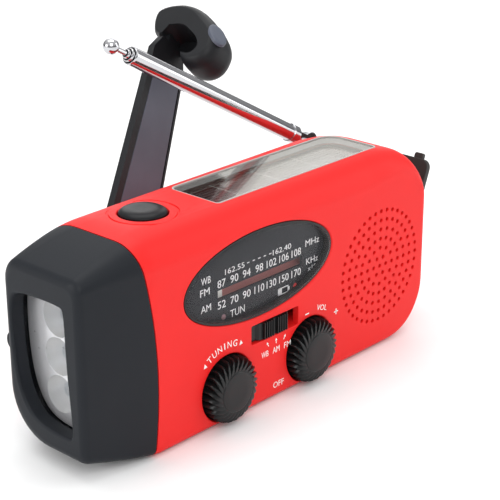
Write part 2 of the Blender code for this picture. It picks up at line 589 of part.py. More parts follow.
def crank_arm():
    """A flat arm with a shallow tray in its inner face, a barrel at each end and an inlay."""
    frame = arm_frame(ARM_FOOT)
    end = GRIP_AT - ARM_FOOT
    (foot_l, foot_r), (head_l, head_r) = arm_edges(17), arm_edges(72.5)
    face = [(-3.7, 0), (3.7, 0), (3.7, 8 - ARM_FOOT), (foot_r, 17 - ARM_FOOT), (head_r, 72.5 - ARM_FOOT)]
    face += [(2.6, 75 - ARM_FOOT), (2.6, end), (-2.6, end), (-2.6, 75 - ARM_FOOT), (head_l, 72.5 - ARM_FOOT)]
    face += [(foot_l, 17 - ARM_FOOT), (-3.7, 8 - ARM_FOOT)]
    half = ARM_T / 2
    arm = prism("crank_arm", face, "Y", -half, half, SLATE, rough=0.55, frame=frame)
    join(arm, rod("arm_tip", (0, end), "X", HINGE_R, -2.6, 2.6, 14, frame=frame))
    join(arm, rod("arm_heel", (0, 0), "X", HINGE_R, -3.7, 3.7, 14, frame=frame))
    tray = []
    for distance in (20.0, 69.5):
        left, right = arm_edges(distance, 0.9)
        tray += [(left + 1.6, distance - ARM_FOOT), (right, distance - ARM_FOOT)]
    tray = [tray[0], tray[1], tray[3], tray[2]]
    cut(arm, prism("arm_tray", tray, "Y", half - 0.9, 5.0, frame=frame))
    for name, z in (("arm_foot_bore", 0), ("arm_tip_bore", end)):
        cut(arm, rod(name, (0, z), "X", 1.25, -10, 10, 12, frame=frame))
    inlay = [(x - math.copysign(GAP, x), z + (GAP if z < 40 else -GAP)) for x, z in tray]
    prism("arm_inlay", inlay, "Y", half - 0.6, half - 0.1, SLATE, rough=0.5, frame=frame)
    rod("arm_pin", (0, 0), "X", 1.0, -6.9, 6.9, 12, STEEL, metal=1.0, frame=frame)


GRIP_OUTER = ((-3.9, -2.0), (-2.6, -3.6), (-0.1, -4.3), (2.9, -4.4), (5.2, -3.4), (6.2, -0.2), (6.0, 4.7))
GRIP_OUTER += ((4.6, 8.8), (2.2, 12.4), (-1.2, 15.7), (-4.9, 18.3), (-7.8, 19.6), (-10.6, 19.9), (-13.8, 19.0))
GRIP_OUTER += ((-16.0, 17.2), (-17.0, 14.4), (-16.6, 11.2), (-15.2, 8.8))
GRIP_INNER = ((-13.4, 9.6), (-13.4, 12.4), (-11.4, 14.2), (-8.4, 13.2), (-5.4, 10.6), (-2.6, 7.2), (-1.8, 2.6))


def crank_grip():
    """The hooked grip, forked over the end of the arm. Its side outline is (along, inwards)."""
    frame = arm_frame(GRIP_AT)
    half = GRIP_W / 2
    middle = Vector((-5.5, 9.0))
    loops = []
    for x, draw in ((-half, 1.5), (-half + 1.4, 0.35), (-half + 3, 0.0), (half - 3, 0.0), (half - 1.4, 0.35), (half, 1.5)):
        loop = []
        for z, y in GRIP_OUTER:
            point = Vector((z, y))
            point -= (point - middle).normalized() * draw
            loop.append((x, point[1], point[0]))
        loops.append(loop + [(x, y, z) for z, y in GRIP_INNER])
    grip = piece("crank_grip", *rings(loops), BLACK, rough=0.5, frame=frame)
    slot = prism("grip_slot", [(-8, -12), (3.4, -12), (3.4, 9), (-8, 9)], "X", -3.0, 3.0, frame=frame)
    seat = Matrix.Rotation(math.radians(42), 4, "X")
    pad_frame = frame @ Matrix.Translation((0, 18.2, -4.4)) @ seat
    oval = ellipse(0, 0, 3.2, 4.6, 20)
    hollow = prism("pad_hollow", ellipse(0, 0, 3.55, 4.95, 20), "Y", -0.9, 6, frame=pad_frame)
    cut(grip, slot, rod("grip_bore", (0, 0), "X", 1.25, -12, 12, 12, frame=frame), hollow)
    prism("grip_pad", oval, "Y", -0.6, 0.5, SLATE, rough=0.6, frame=pad_frame)
    rod("grip_pin", (0, 0), "X", 1.0, -half + 1, half - 1, 12, STEEL, metal=1.0, frame=frame)


# ---------------------------------------------------------------- antenna


def antenna():
    """Telescopic: each tube slides in the next, and the whole turns about one screw."""
    turn = Matrix.Rotation(-(math.pi / 2 - ANTENNA_RISE), 4, "Y")
    frame = Matrix.Translation((ANTENNA_X, ANTENNA_Y, ANTENNA_Z)) @ turn
    eye = rod("antenna_root", (0, 0), "Y", 3.1, -1.1, 1.1, 16, STEEL, rough=0.25, metal=1.0, frame=frame)
    neck = block("root_neck", (-1.7, -1.1, 0), (1.7, 1.1, 7), frame=frame)
    plug = rod("root_plug", (0, 0), "Z", 1.8, 6.9, 12, 16, frame=frame)
    cut(join(eye, neck, plug), rod("root_bore", (0, 0), "Y", 1.3, -5, 5, 12, frame=frame))
    for i, (outer, inner) in enumerate(TUBE_RADII):
        start = TUBE_START + 0.6 + i * 7.0
        end = TUBE_END + i * 0.8
        profile = [(inner, start), (outer, start), (outer, end - 0.4), (outer - 0.2, end), (inner, end)]
        tube = turned(f"antenna_tube_{i + 1}", (0, 0), "Z", profile, 16, STEEL, rough=0.12, metal=1.0, frame=frame)
        if i == 0:
            band = [(2.4, start), (2.75, start), (2.75, start + 3), (2.4, start + 3)]
            join(tube, turned("tube_band", (0, 0), "Z", band, 16, frame=frame))
    top = TUBE_END + 3 * 0.8 + 2.6
    ball = [(0, 30), (ROD_R, 30), (ROD_R, top)]
    ball += [(BALL_R * math.sin(a), top + BALL_R - BALL_R * math.cos(a)) for a in (0.7, 1.2, 1.7, 2.2, 2.7)]
    ball.append((0, top + 2 * BALL_R))
    turned("antenna_tip", (0, 0), "Z", ball, 14, STEEL, rough=0.12, metal=1.0, frame=frame)
    face = ANTENNA_Y + 1.4
    head = [(0, 14.4), (0.75, 14.4), (0.75, face), (2.6, face), (2.2, face + 0.9), (0, face + 0.9)]
    turned("antenna_screw", (ANTENNA_X, ANTENNA_Z), "Y", head, 12, STEEL, rough=0.3, metal=1.0)


def main():
    clear_scene()
    space = inner_space("inner_space")
    front_shell(space)
    back_shell(space)
    case_screws()
    torch_head(space)
    torch_insides()
    torch_switchgear()
    dial_set()
    controls()
    speaker()
    solar()
    ports()
    electronics()
    generator()
    crank_hub()
    crank_arm()
    crank_grip()
    antenna()


main()
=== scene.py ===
"""Looks for the hand-crank radio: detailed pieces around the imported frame, their finishes and a studio."""

import json
import math

import bpy
from mathutils import Matrix, Vector


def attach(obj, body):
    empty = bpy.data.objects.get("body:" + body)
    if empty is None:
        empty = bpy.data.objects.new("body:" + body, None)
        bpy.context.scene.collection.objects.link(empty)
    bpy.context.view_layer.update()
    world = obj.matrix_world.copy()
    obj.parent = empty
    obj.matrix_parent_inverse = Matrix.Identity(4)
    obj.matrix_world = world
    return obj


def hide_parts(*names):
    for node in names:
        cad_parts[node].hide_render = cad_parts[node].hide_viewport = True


bl_info = {
    "name": "Hand-Crank Radio",
    "version": (1, 0, 0),
    "blender": (4, 5, 0),
    "location": "View3D > Sidebar > Radio",
    "description": "Builds the finished pieces of a hand-crank radio and torch around its CAD frame",
    "category": "Object",
}

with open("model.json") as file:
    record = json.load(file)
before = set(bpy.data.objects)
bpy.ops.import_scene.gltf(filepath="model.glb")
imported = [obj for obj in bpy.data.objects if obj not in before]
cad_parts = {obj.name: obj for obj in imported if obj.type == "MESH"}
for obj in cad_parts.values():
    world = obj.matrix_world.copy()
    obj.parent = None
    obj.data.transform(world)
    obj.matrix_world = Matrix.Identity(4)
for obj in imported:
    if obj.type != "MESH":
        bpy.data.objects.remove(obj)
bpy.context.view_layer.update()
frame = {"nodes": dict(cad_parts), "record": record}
MM = 0.001

# All sizes below are in mm, in the frame's own axes: x along the case, y from front to back, z up.
LEFT, RIGHT, FRONT, BACK, TOP = -65.0, 65.0, -19.0, 19.0, 58.0
SEAM_Y, WALL, GAP = 13.5, 2.0, 0.3
END_CURVE_X = 40.0
DIAL = (-6.0, 38.1, 28.0, 12.0)
KNOBS = (("tuning", -18.8), ("volume", 13.4))
KNOB_Z, WELL_R, WELL_FLOOR, KNOB_FACE = 9.8, 9.35, -15.2, -22.6
SLOT = (-9.8, 8.6, 18.7, 24.0)
SPEAKER = (43.5, 25.1)
HOLE_PITCH = 2.73
HOLE_RINGS = (1, 6, 12, 20, 24, 32, 40)
BUTTON = (-32.6, -3.7)
SOLAR = (-15.5, 49.0, -12.6, 5.2)
PORT_Y0, PORT_Y1 = -14.9, 12.2
PORT_FLOOR = ((62.2, 27.2), (58.4, 51.0))
COVER_AXIS, COVER_LENGTH, COVER_T = (64.0, 28.6), 21.2, 1.8
COVER_OPEN = math.radians(21.7)
CRANK = (-19.7, 27.7)
CRANK_BORE = 1.3
ARM_TURN, ARM_LEAN = math.radians(45), math.radians(22)
ARM_FOOT, GRIP_AT, ARM_T, HINGE_R, ARM_START, GRIP_W = 6.0, 83.0, 2.2, 2.4, 22.0, 12.0
ANTENNA = (55.5, 18.5, 51.1)
ANTENNA_RISE = math.radians(29.1)
TUBES = ((2.5, 2.15), (1.9, 1.55), (1.3, 0.95))
TUBE_START, TUBE_END, ROD_R, BALL_R = 6.5, 80.6, 0.7, 2.1
SCREWS = ((-39.5, 8.0), (-39.5, 46.0), (31.0, 43.5), (56.0, 8.5))
LED_Y, LED_ZS = -0.9, (37.4, 27.2, 17.0)
# The torch housing ends on a large round in x and z: its centre and radius.
HEAD_ROUND, HEAD_ROUND_R = (-174.3, 20.0), 131.0
# Where the dial's print lies, and how far the TUNING letters stand from their knob's centre.
DIAL_INK_Y = -16.72
LABEL_R = 12.2


# ---------------------------------------------------------------- colours and nodes


def linear(code):
    """An sRGB hex colour as linear RGBA."""
    parts = [int(code[i : i + 2], 16) / 255 for i in (0, 2, 4)]
    return tuple(c / 12.92 if c <= 0.04045 else ((c + 0.055) / 1.055) ** 2.4 for c in parts) + (1.0,)


# How far apart the slow changes of tone lie, in mm.
DRIFT = 9.0


def node(tree, kind, inputs=None, **settings):
    """Adds a node with its settings; an input is a value or the output it is linked from."""
    made = tree.nodes.new(kind)
    for key, value in settings.items():
        setattr(made, key, value)
    for key, value in (inputs or {}).items():
        if isinstance(value, bpy.types.NodeSocket):
            tree.links.new(value, made.inputs[key])
        else:
            made.inputs[key].default_value = value
    return made


def blank(name):
    """A material with only an output, and its tree."""
    mat = bpy.data.materials.new(name)
    mat.use_nodes = True
    mat.node_tree.nodes.clear()
    return mat, mat.node_tree


def grained(name, light, dark, rough, grain, depth, metal=0.0, coat=0.0, spread=0.06, shine=0.5):
    """A moulded or painted surface: slow drift between two tones, a fine grain in mm, and uneven gloss."""
    mat, tree = blank(name)
    where = node(tree, "ShaderNodeTexCoord").outputs["Object"]
    drift = node(tree, "ShaderNodeTexNoise", {"Vector": where, "Scale": 1000 / DRIFT, "Detail": 4.0})
    fine = node(tree, "ShaderNodeTexNoise", {"Vector": where, "Scale": 1000 / grain, "Detail": 3.0, "Roughness": 0.6})
    tone = node(tree, "ShaderNodeMix", {"Factor": drift.outputs["Fac"], 6: dark, 7: light}, data_type="RGBA")
    gloss = node(
        tree,
        "ShaderNodeMapRange",
        {"Value": fine.outputs["Fac"], "To Min": rough - spread, "To Max": rough + spread},
    )
    bump = node(tree, "ShaderNodeBump", {"Height": fine.outputs["Fac"], "Strength": 0.6, "Distance": depth * MM})
    shader = node(
        tree,
        "ShaderNodeBsdfPrincipled",
        {
            "Base Color": tone.outputs[2],
            "Roughness": gloss.outputs["Result"],
            "Normal": bump.outputs["Normal"],
            "Metallic": metal,
            "Coat Weight": coat,
            "Coat Roughness": 0.12,
            "Specular IOR Level": shine,
        },
    )
    node(tree, "ShaderNodeOutputMaterial", {"Surface": shader.outputs["BSDF"]})
    return mat


def see_through(name, tint, rough, ior=1.49, power=5.0, glint=(0.9, 0.9, 0.9, 1)):
    """Thin clear plastic: what is behind shows, with a skin of gloss that gathers at grazing angles.

    The skin is a mirror mixed in by angle, because a closed clear solid turns opaque seen from inside.
    """
    mat, tree = blank(name)
    where = node(tree, "ShaderNodeTexCoord").outputs["Object"]
    haze = node(tree, "ShaderNodeTexNoise", {"Vector": where, "Scale": 1000 / 6.0, "Detail": 5.0})
    gloss = node(tree, "ShaderNodeMapRange", {"Value": haze.outputs["Fac"], "To Min": rough, "To Max": rough + 0.05})
    facing = node(tree, "ShaderNodeLayerWeight", {"Blend": 0.5})
    steep = node(tree, "ShaderNodeMath", {0: facing.outputs["Facing"], 1: power}, operation="POWER")
    normal = ((ior - 1) / (ior + 1)) ** 2
    edge = node(tree, "ShaderNodeMath", {0: steep.outputs[0], 1: 1 - normal, 2: normal}, operation="MULTIPLY_ADD")
    clear = node(tree, "ShaderNodeBsdfTransparent", {"Color": tint})
    skin = node(
        tree,
        "ShaderNodeBsdfPrincipled",
        {"Base Color": glint, "Metallic": 1.0, "Roughness": gloss.outputs["Result"]},
    )
    shares = {0: edge.outputs[0], 1: clear.outputs["BSDF"], 2: skin.outputs["BSDF"]}
    both = node(tree, "ShaderNodeMixShader", shares)
    node(tree, "ShaderNodeOutputMaterial", {"Surface": both.outputs["Shader"]})
    return mat


def striped(name, dark, light, line, pitch, width, rough):
    """Solar film: dark cells split by thin printed lines, a pitch apart along x, each with finer fingers."""
    mat, tree = blank(name)
    where = node(tree, "ShaderNodeTexCoord").outputs["Object"]
    axes = node(tree, "ShaderNodeSeparateXYZ", {"Vector": where})
    cell = node(tree, "ShaderNodeMath", {0: axes.outputs["X"], 1: pitch * MM}, operation="PINGPONG")
    cut = node(tree, "ShaderNodeMath", {0: cell.outputs[0], 1: width * MM}, operation="LESS_THAN")
    finger = node(tree, "ShaderNodeMath", {0: axes.outputs["Y"], 1: 0.7 * MM}, operation="PINGPONG")
    thin = node(tree, "ShaderNodeMath", {0: finger.outputs[0], 1: 0.14 * MM}, operation="LESS_THAN")
    thin = node(tree, "ShaderNodeMath", {0: thin.outputs[0], 1: 0.4}, operation="MULTIPLY")
    lines = node(tree, "ShaderNodeMath", {0: cut.outputs[0], 1: thin.outputs[0]}, operation="MAXIMUM")
    drift = node(tree, "ShaderNodeTexNoise", {"Vector": where, "Scale": 60.0, "Detail": 3.0})
    ramp = node(tree, "ShaderNodeValToRGB", {"Fac": drift.outputs["Fac"]})
    ramp.color_ramp.elements[0].position, ramp.color_ramp.elements[0].color = 0.35, dark
    ramp.color_ramp.elements[1].position, ramp.color_ramp.elements[1].color = 0.65, light
    colours = {"Factor": lines.outputs[0], 6: ramp.outputs["Color"], 7: line}
    tone = node(tree, "ShaderNodeMix", colours, data_type="RGBA")
    shader = node(tree, "ShaderNodeBsdfPrincipled", {"Base Color": tone.outputs[2], "Roughness": rough, "IOR": 1.5})
    node(tree, "ShaderNodeOutputMaterial", {"Surface": shader.outputs["BSDF"]})
    return mat


def finishes():
    """All the finishes, made once and kept by slot name."""
    made = bpy.data.materials
    if "soft_touch_red_abs" in made:
        return
    look = bpy.context.scene.radio_look
    red, black = tuple(look.shell_colour), tuple(look.trim_colour)
    deep = (red[0] * 0.93, red[1] * 0.8, red[2] * 0.8, 1)
    lift = tuple(min(1, c * 1.12 + 0.001) for c in black[:3]) + (1,)
    # Soft-touch paint on ABS: matt, with a broad soft highlight and a fine tooth.
    grained("soft_touch_red_abs", red, deep, 0.5, 0.35, 0.012, shine=0.3)
    # Rubbery moulded black of the torch end, grip and flap: dark grey where light grazes it.
    grained("satin_black_abs", lift, black, 0.5, 0.3, 0.014, shine=0.2)
    # Harder, glossier black of the knobs and slider: tight highlights on the ribs.
    grained("gloss_black_abs", linear("161718"), linear("0f1011"), 0.32, 0.5, 0.004, coat=0.04, shine=0.3)
    # Printed dial plate behind its window: near-black grey ink, slightly uneven.
    grained("dial_ink", linear("212428"), linear("1b1e22"), 0.5, 0.6, 0.0003, shine=0.2, spread=0.02)
    # Slate-grey moulded panel of the crank: bluish grey with a fine spark texture.
    grained("slate_abs", tuple(look.panel_colour), linear("474b57"), 0.42, 0.3, 0.012, shine=0.35)
    # Charcoal ABS of the crank and grip: darker, the same tooth.
    grained("charcoal_abs", linear("1f2023"), linear("17181a"), 0.45, 0.3, 0.012, shine=0.22)
    # The push button: nearly black, smooth.
    grained("button_rubber", linear("111216"), linear("0c0d10"), 0.34, 0.5, 0.004, shine=0.2)
    # Vacuum-metallised ABS: bright and softly rippled by the moulding under it.
    grained("metallised_abs", (0.93, 0.93, 0.92, 1), (0.86, 0.86, 0.85, 1), 0.3, 2.2, 0.14, metal=0.65, spread=0.06)
    # Chromed brass tube: mirror finish with faint wipe marks.
    grained("chromed_brass", (0.6, 0.6, 0.62, 1), (0.54, 0.54, 0.56, 1), 0.1, 1.5, 0.002, metal=1.0, spread=0.03)
    # Zinc-plated steel: pale grey, softer gloss.
    grained("zinc_plated_steel", (0.62, 0.62, 0.63, 1), (0.5, 0.5, 0.51, 1), 0.3, 0.6, 0.006, metal=1.0)
    grained("nylon_white", linear("ece9e0"), linear("e0ddd2"), 0.45, 0.5, 0.01)
    # White pad-printed ink: flat, a touch warm.
    grained("white_ink", tuple(look.print_colour), linear("e9e8e4"), 0.5, 0.5, 0.002)
    # Brown lacquered strip behind the scale: rosy, fading with the light.
    grained("brown_lacquer", linear("d88c86"), linear("c67b76"), 0.4, 0.8, 0.001)
    grained("pcb_green", linear("1e5a2c"), linear("174822"), 0.4, 0.8, 0.008)
    # Black paper cone: fibres, no gloss.
    grained("paper_cone", linear("1b1a19"), linear("131211"), 0.9, 0.25, 0.05)
    grained("sintered_ferrite", linear("2c2c30"), linear("222225"), 0.7, 0.3, 0.02)
    grained("enamelled_copper", (0.72, 0.32, 0.14, 1), (0.6, 0.25, 0.1, 1), 0.3, 0.25, 0.03, metal=1.0)
    grained("cell_wrap", linear("3f7d46"), linear("376f3e"), 0.35, 0.9, 0.004)
    # Soft rubber: black-brown, matt.
    grained("moulded_rubber", linear("2b2725"), linear("211e1d"), 0.6, 0.3, 0.02)
    # Red diffused indicator lens.
    grained("red_diffused_epoxy", linear("c0201c"), linear("a81814"), 0.25, 0.8, 0.003, coat=0.3)
    # The unlit tuning lamp: greyed rose.
    grained("dull_lens", linear("8a6468"), linear("7a565a"), 0.3, 0.8, 0.002)
    # Yellow phosphor over the white LED's die.
    grained("led_phosphor", linear("d9c66a"), linear("c9b458"), 0.6, 0.2, 0.01)
    # Clear polycarbonate windows and the LED domes.
    see_through("clear_polycarbonate", (0.97, 0.98, 0.99, 1), 0.03)
    see_through("smoked_polycarbonate", (0.95, 0.95, 0.96, 1), 0.03, ior=1.22)
    see_through("clear_epoxy", (0.93, 0.95, 0.97, 1), 0.04, ior=1.55)
    # Grey printed border under the solar window.
    grained("border_grey", linear("b9b4b0"), linear("a8a39f"), 0.5, 0.6, 0.002)
    # The studio's pale paper sweep.
    grained("pale_paper", linear("f6f6f6"), linear("f2f2f2"), 0.9, 2.0, 0.01)
    # The solar window: the same plastic seen at a low angle, so it mirrors more of the room.
    see_through("solar_polycarbonate", (0.95, 0.96, 0.97, 1), 0.05, ior=1.5, power=4.0, glint=linear("d2d0c8"))
    # Amorphous solar film: maroon-black cells with pale printed lines, seen through the window.
    striped("solar_film", linear("2c1216"), linear("46201f"), linear("8d8580"), 8.0, 0.28, 0.25)


def finish(name):
    """A finish by name, made the first time it is asked for."""
    finishes()
    return bpy.data.materials[name]


# ---------------------------------------------------------------- making pieces


def only(obj):
    """Selects and activates one object."""
    bpy.ops.object.select_all(action="DESELECT")
    obj.select_set(True)
    bpy.context.view_layer.objects.active = obj
    return obj


def sheet(name, points, faces=(), edges=()):
    """A mesh object from points in mm, selected."""
    mesh = bpy.data.meshes.new(name)
    mesh.from_pydata([Vector(p) * MM for p in points], list(edges), list(faces))
    obj = bpy.data.objects.new(name, mesh)
    bpy.context.scene.collection.objects.link(obj)
    return only(obj)


def place(obj, where):
    """Moves a mesh by a frame in mm."""
    obj.data.transform(Matrix.Translation(where.translation * MM) @ where.to_3x3().to_4x4())
    return obj


def apply(obj, kind, **settings):
    """Adds a modifier with its settings and applies it."""
    only(obj)
    mod = obj.modifiers.new(kind.lower(), kind)
    for key, value in settings.items():
        setattr(mod, key, value)
    bpy.ops.object.modifier_apply(modifier=mod.name)
    return obj


def bevel(obj, width, segments=3, angle=35):
    """Rounds the edges that turn by more than an angle in degrees."""
    limit = math.radians(angle)
    return apply(obj, "BEVEL", width=width * MM, segments=segments, limit_method="ANGLE", angle_limit=limit)


def boolean(target, operation, *tools):
    """Joins, cuts or keeps what is common with each tool in turn, and removes the tools."""
    for tool in tools:
        apply(target, "BOOLEAN", operation=operation, solver="EXACT", object=tool)
        bpy.data.objects.remove(tool, do_unlink=True)
    return target


def outward(obj):
    """Merges doubles and turns every face outwards."""
    only(obj)
    bpy.ops.object.mode_set(mode="EDIT")
    bpy.ops.mesh.select_all(action="SELECT")
    bpy.ops.mesh.remove_doubles(threshold=1e-7)
    bpy.ops.mesh.normals_make_consistent(inside=False)
    bpy.ops.object.mode_set(mode="OBJECT")
    return obj


def along(axis, u, v, t):
    """A point at (u, v) across an axis and t along it."""
    return {"X": (t, u, v), "Y": (u, t, v), "Z": (u, v, t)}[axis]


def circle(u, v, radius, sides, start=0.0):
    """Points round a circle."""
    steps = [start + math.tau * i / sides for i in range(sides)]
    return [(u + radius * math.cos(a), v + radius * math.sin(a)) for a in steps]


def oval(u, v, a, b, sides):
    """Points round an oval with these two half widths."""
    return [(u + a * x, v + b * y) for x, y in circle(0, 0, 1, sides)]


def rounded(points, rounds=3, share=0.25):
    """A closed outline with its corners cut again and again into curves."""
    for _ in range(rounds):
        out = []
        for a, b in zip(points, points[1:] + points[:1]):
            a, b = Vector(a), Vector(b)
            out += [tuple(a.lerp(b, share)), tuple(a.lerp(b, 1 - share))]
        points = out
    return points


def box_outline(u0, u1, v0, v1, radii, steps=6):
    """A rectangle with a radius at each corner, from (u0, v0) round."""
    spots = ((u0, v0, 180, 1, 1), (u1, v0, 270, -1, 1), (u1, v1, 0, -1, -1), (u0, v1, 90, 1, -1))
    out = []
    for (u, v, start, su, sv), radius in zip(spots, radii):
        for i in range(steps + 1):
            angle = math.radians(start + 90 * i / steps)
            out.append((u + radius * (su + math.cos(angle)), v + radius * (sv + math.sin(angle))))
    return out


def skin(name, loops):
    """A closed skin bridged through loops of equal length, with a face at each end."""
    count = len(loops[0])
    points = [p for loop in loops for p in loop]
    faces = []
    for i in range(len(loops) - 1):
        for j in range(count):
            k = (j + 1) % count
            faces.append((i * count + j, i * count + k, (i + 1) * count + k, (i + 1) * count + j))
    faces += [tuple(range(count)), tuple(range((len(loops) - 1) * count, len(loops) * count))]
    return outward(sheet(name, points, faces))


def plate(name, outline, axis, start, end, edge=0.0, segments=3, angle=35):
    """An outline extruded along an axis, with its edges rounded."""
    obj = sheet(name, [along(axis, u, v, start) for u, v in outline], [range(len(outline))])
    bpy.ops.object.mode_set(mode="EDIT")
    bpy.ops.mesh.select_all(action="SELECT")
    step = along(axis, 0, 0, (end - start) * MM)
    bpy.ops.mesh.extrude_region_move(TRANSFORM_OT_translate={"value": step})
    bpy.ops.object.mode_set(mode="OBJECT")
    outward(obj)
    return bevel(obj, edge, segments, angle) if edge else obj


def lathe(name, centre, axis, profile, steps=48):
    """A profile of (radius, height) spun round an axis. One that starts off the axis is closed first."""
    points = [along(axis, centre[0] + r, centre[1], h) for r, h in profile]
    edges = [(i, i + 1) for i in range(len(points) - 1)]
    if profile[0][0] > 0:
        edges.append((len(points) - 1, 0))
    obj = sheet(name, points, edges=edges)
    bpy.ops.object.mode_set(mode="EDIT")
    bpy.ops.mesh.select_all(action="SELECT")
    middle = Vector(along(axis, centre[0], centre[1], 0)) * MM
    bpy.ops.mesh.spin(steps=steps, angle=math.tau, center=middle, axis=along(axis, 0, 0, 1))
    bpy.ops.object.mode_set(mode="OBJECT")
    return outward(obj)


def rod(name, centre, axis, radius, start, end, sides=32):
    """A round bar between two places on an axis."""
    return plate(name, circle(*centre, radius, sides), axis, start, end)


def done(obj, slot, body, *stands_for, angle=32, finish_name=None):
    """Shades a piece, gives it its finish, ties it to its body, and hides the nodes it stands for."""
    only(obj)
    obj.data.materials.clear()
    obj.data.materials.append(finish(finish_name or SLOT_FINISH[slot]))
    bpy.ops.object.shade_smooth_by_angle(angle=math.radians(angle))
    # Large faces keep their own normals, so that cut panels shade evenly.
    apply(obj, "WEIGHTED_NORMAL", mode="FACE_AREA", weight=60, keep_sharp=True)
    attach(obj, body)
    if stands_for:
        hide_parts(*stands_for)
    return obj


SLOT_FINISH = {
    "red_shell": "soft_touch_red_abs",
    "black_soft": "satin_black_abs",
    "black_gloss": "gloss_black_abs",
    "slate": "slate_abs",
    "clear": "clear_polycarbonate",
    "silvered": "metallised_abs",
    "chrome": "chromed_brass",
    "steel": "zinc_plated_steel",
    "led_clear": "clear_epoxy",
    "led_red": "red_diffused_epoxy",
    "board": "pcb_green",
    "white_nylon": "nylon_white",
    "print_black": "dial_ink",
    "brown_strip": "brown_lacquer",
    "paper_cone": "paper_cone",
    "ferrite": "sintered_ferrite",
    "copper": "enamelled_copper",
    "cell": "cell_wrap",
    "solar_cells": "solar_film",
    "rubber_black": "moulded_rubber",
}


# ---------------------------------------------------------------- case


def fall(ratio, power):
    """A quarter curve from 0 to 1: flat at first, then steeper. Power 2 is a circle."""
    return 1 - (1 - min(1.0, max(0.0, ratio)) ** power) ** (1 / power)


def case_limits(x):
    """Front, back, bottom and top of the case at x, and its four corner radii."""
    front, back, bottom, top = FRONT, BACK, 0.0, TOP
    taper = min(1.0, max(0.0, (LEFT + 22 - x) / 22))
    ease = taper**1.25
    edge = 1.8 * fall((LEFT + 1.8 - x) / 1.8, 2)
    front += 3.6 * ease + edge
    back -= 7.4 * ease + edge
    bottom += 4.6 * ease + edge
    top -= 6.6 * ease + edge
    drop = min(1.0, max(0.0, (abs(x - 6) - 16) / 33))
    ratio = max(0.0, (x - END_CURVE_X) / (RIGHT - END_CURVE_X))
    radii = [9 - 6 * taper - 4 * ratio, 13 + 5 * drop - 13 * taper, 8 + 5 * taper, 2.2]
    top -= 22.5 * fall(ratio, 2.7)
    bottom += 30.0 * fall((x - 46) / (RIGHT - 46), 3.0)
    front += 2.4 * fall((x - RIGHT + 2.4) / 2.4, 2)
    back -= 8.0 * fall((x - RIGHT + 8) / 8, 2)
    return front, back, bottom, top, radii


def case_loop(x, inset=0.0, steps=12):
    """The outline of the case at x, with its corners rounded in this many steps."""
    at = x
    if inset and x > END_CURVE_X:
        at = END_CURVE_X + (x - END_CURVE_X) * (RIGHT - END_CURVE_X) / (RIGHT - END_CURVE_X - inset)
    front, back, bottom, top, radii = case_limits(at)
    front, back, bottom, top = front + inset, back - inset, bottom + inset, top - inset
    most = 0.46 * (top - bottom)
    ft, bt, bb, fb = [min(most, max(0.8, r - inset)) for r in radii]
    corners = (
        (front + fb, bottom + fb, fb, 270),
        (front + ft, top - ft, ft, 180),
        (back - bt, top - bt, bt, 90),
        (back - bb, bottom + bb, bb, 0),
    )
    loop = []
    for y, z, radius, start in corners:
        for step in range(steps):
            angle = math.radians(start - 90 * step / (steps - 1))
            loop.append((x, y + radius * math.cos(angle), z + radius * math.sin(angle)))
    return loop


def stations():
    """Where the case is measured: close together at both ends, none along the straight middle."""
    head = [LEFT, -64.95, -64.8, -64.5, -64.1, -63.6, -63.2, -62] + [-60 + 17 * i / 10 for i in range(11)]
    end = [END_CURVE_X + 25 * math.sin(math.pi / 2 * i / 30) for i in range(31)]
    return head + end


def case_skin(name):
    """The whole case as one closed skin."""
    return skin(name, [case_loop(x) for x in stations()])


def case_hollow(name):
    """What the case holds, less its bosses."""
    shrink = (RIGHT - WALL - END_CURVE_X) / (RIGHT - END_CURVE_X)
    at = [-61.1, -56.5, -53, -49.5, -46, -43]
    at += [END_CURVE_X + (x - END_CURVE_X) * shrink for x in (40, 45, 50, 54, 57.5, 60.5, 62.8, 64.2, 64.8, 65)]
    space = skin(name, [case_loop(x, WALL, 6) for x in at])
    cups = [rod("cup", (x, KNOB_Z), "Y", WELL_R + 0.95, FRONT - 1, -13.2) for _, x in KNOBS]
    posts = [rod("post", spot, "Y", 3.0, FRONT - 1, BACK + 1, 16) for spot in SCREWS]
    (low_x, low_z), (high_x, high_z) = PORT_FLOOR
    side = [(low_x - 1.3, low_z - 1.3), (80, low_z - 1.3), (80, high_z + 1.3), (high_x - 1.7, high_z + 1.3)]
    ports = plate("port_block", side, "Y", PORT_Y0 - 1.2, SEAM_Y - 0.4)
    rail = rod("rail_stock", ANTENNA[1:], "X", 4.8, -38, 50)
    boss = plate("boss", [(46, SEAM_Y - 0.1), (70, SEAM_Y - 0.1), (70, 30), (46, 30)], "Z", 42.5, 60)
    return boolean(space, "DIFFERENCE", *cups, *posts, ports, rail, boss)


def grown(outline, by):
    """The outline moved outwards along its own normals."""
    out = []
    area = sum(a[0] * b[1] - b[0] * a[1] for a, b in zip(outline, outline[1:] + outline[:1]))
    turn = 1 if area > 0 else -1
    for before, here, after in zip(outline[-1:] + outline[:-1], outline, outline[1:] + outline[:1]):
        way = Vector(after) - Vector(before)
        normal = Vector((way[1], -way[0])).normalized() * turn
        out.append(tuple(Vector(here) + normal * by))
    return out


def opening(name, outline, axis, surface, inner, lip, outside=3.0):
    """A cutter for an opening whose edge is rounded by lip where it meets the surface."""
    way = 1 if inner > surface else -1
    loops = [[along(axis, u, v, inner) for u, v in outline]]
    for step in range(5):
        angle = math.pi / 2 * step / 4
        depth = lip * (1 - math.sin(angle))
        line = grown(outline, lip * (1 - math.cos(angle)))
        loops.append([along(axis, u, v, surface + way * depth) for u, v in line])
    loops.append([along(axis, u, v, surface - way * outside) for u, v in grown(outline, lip)])
    return skin(name, loops)


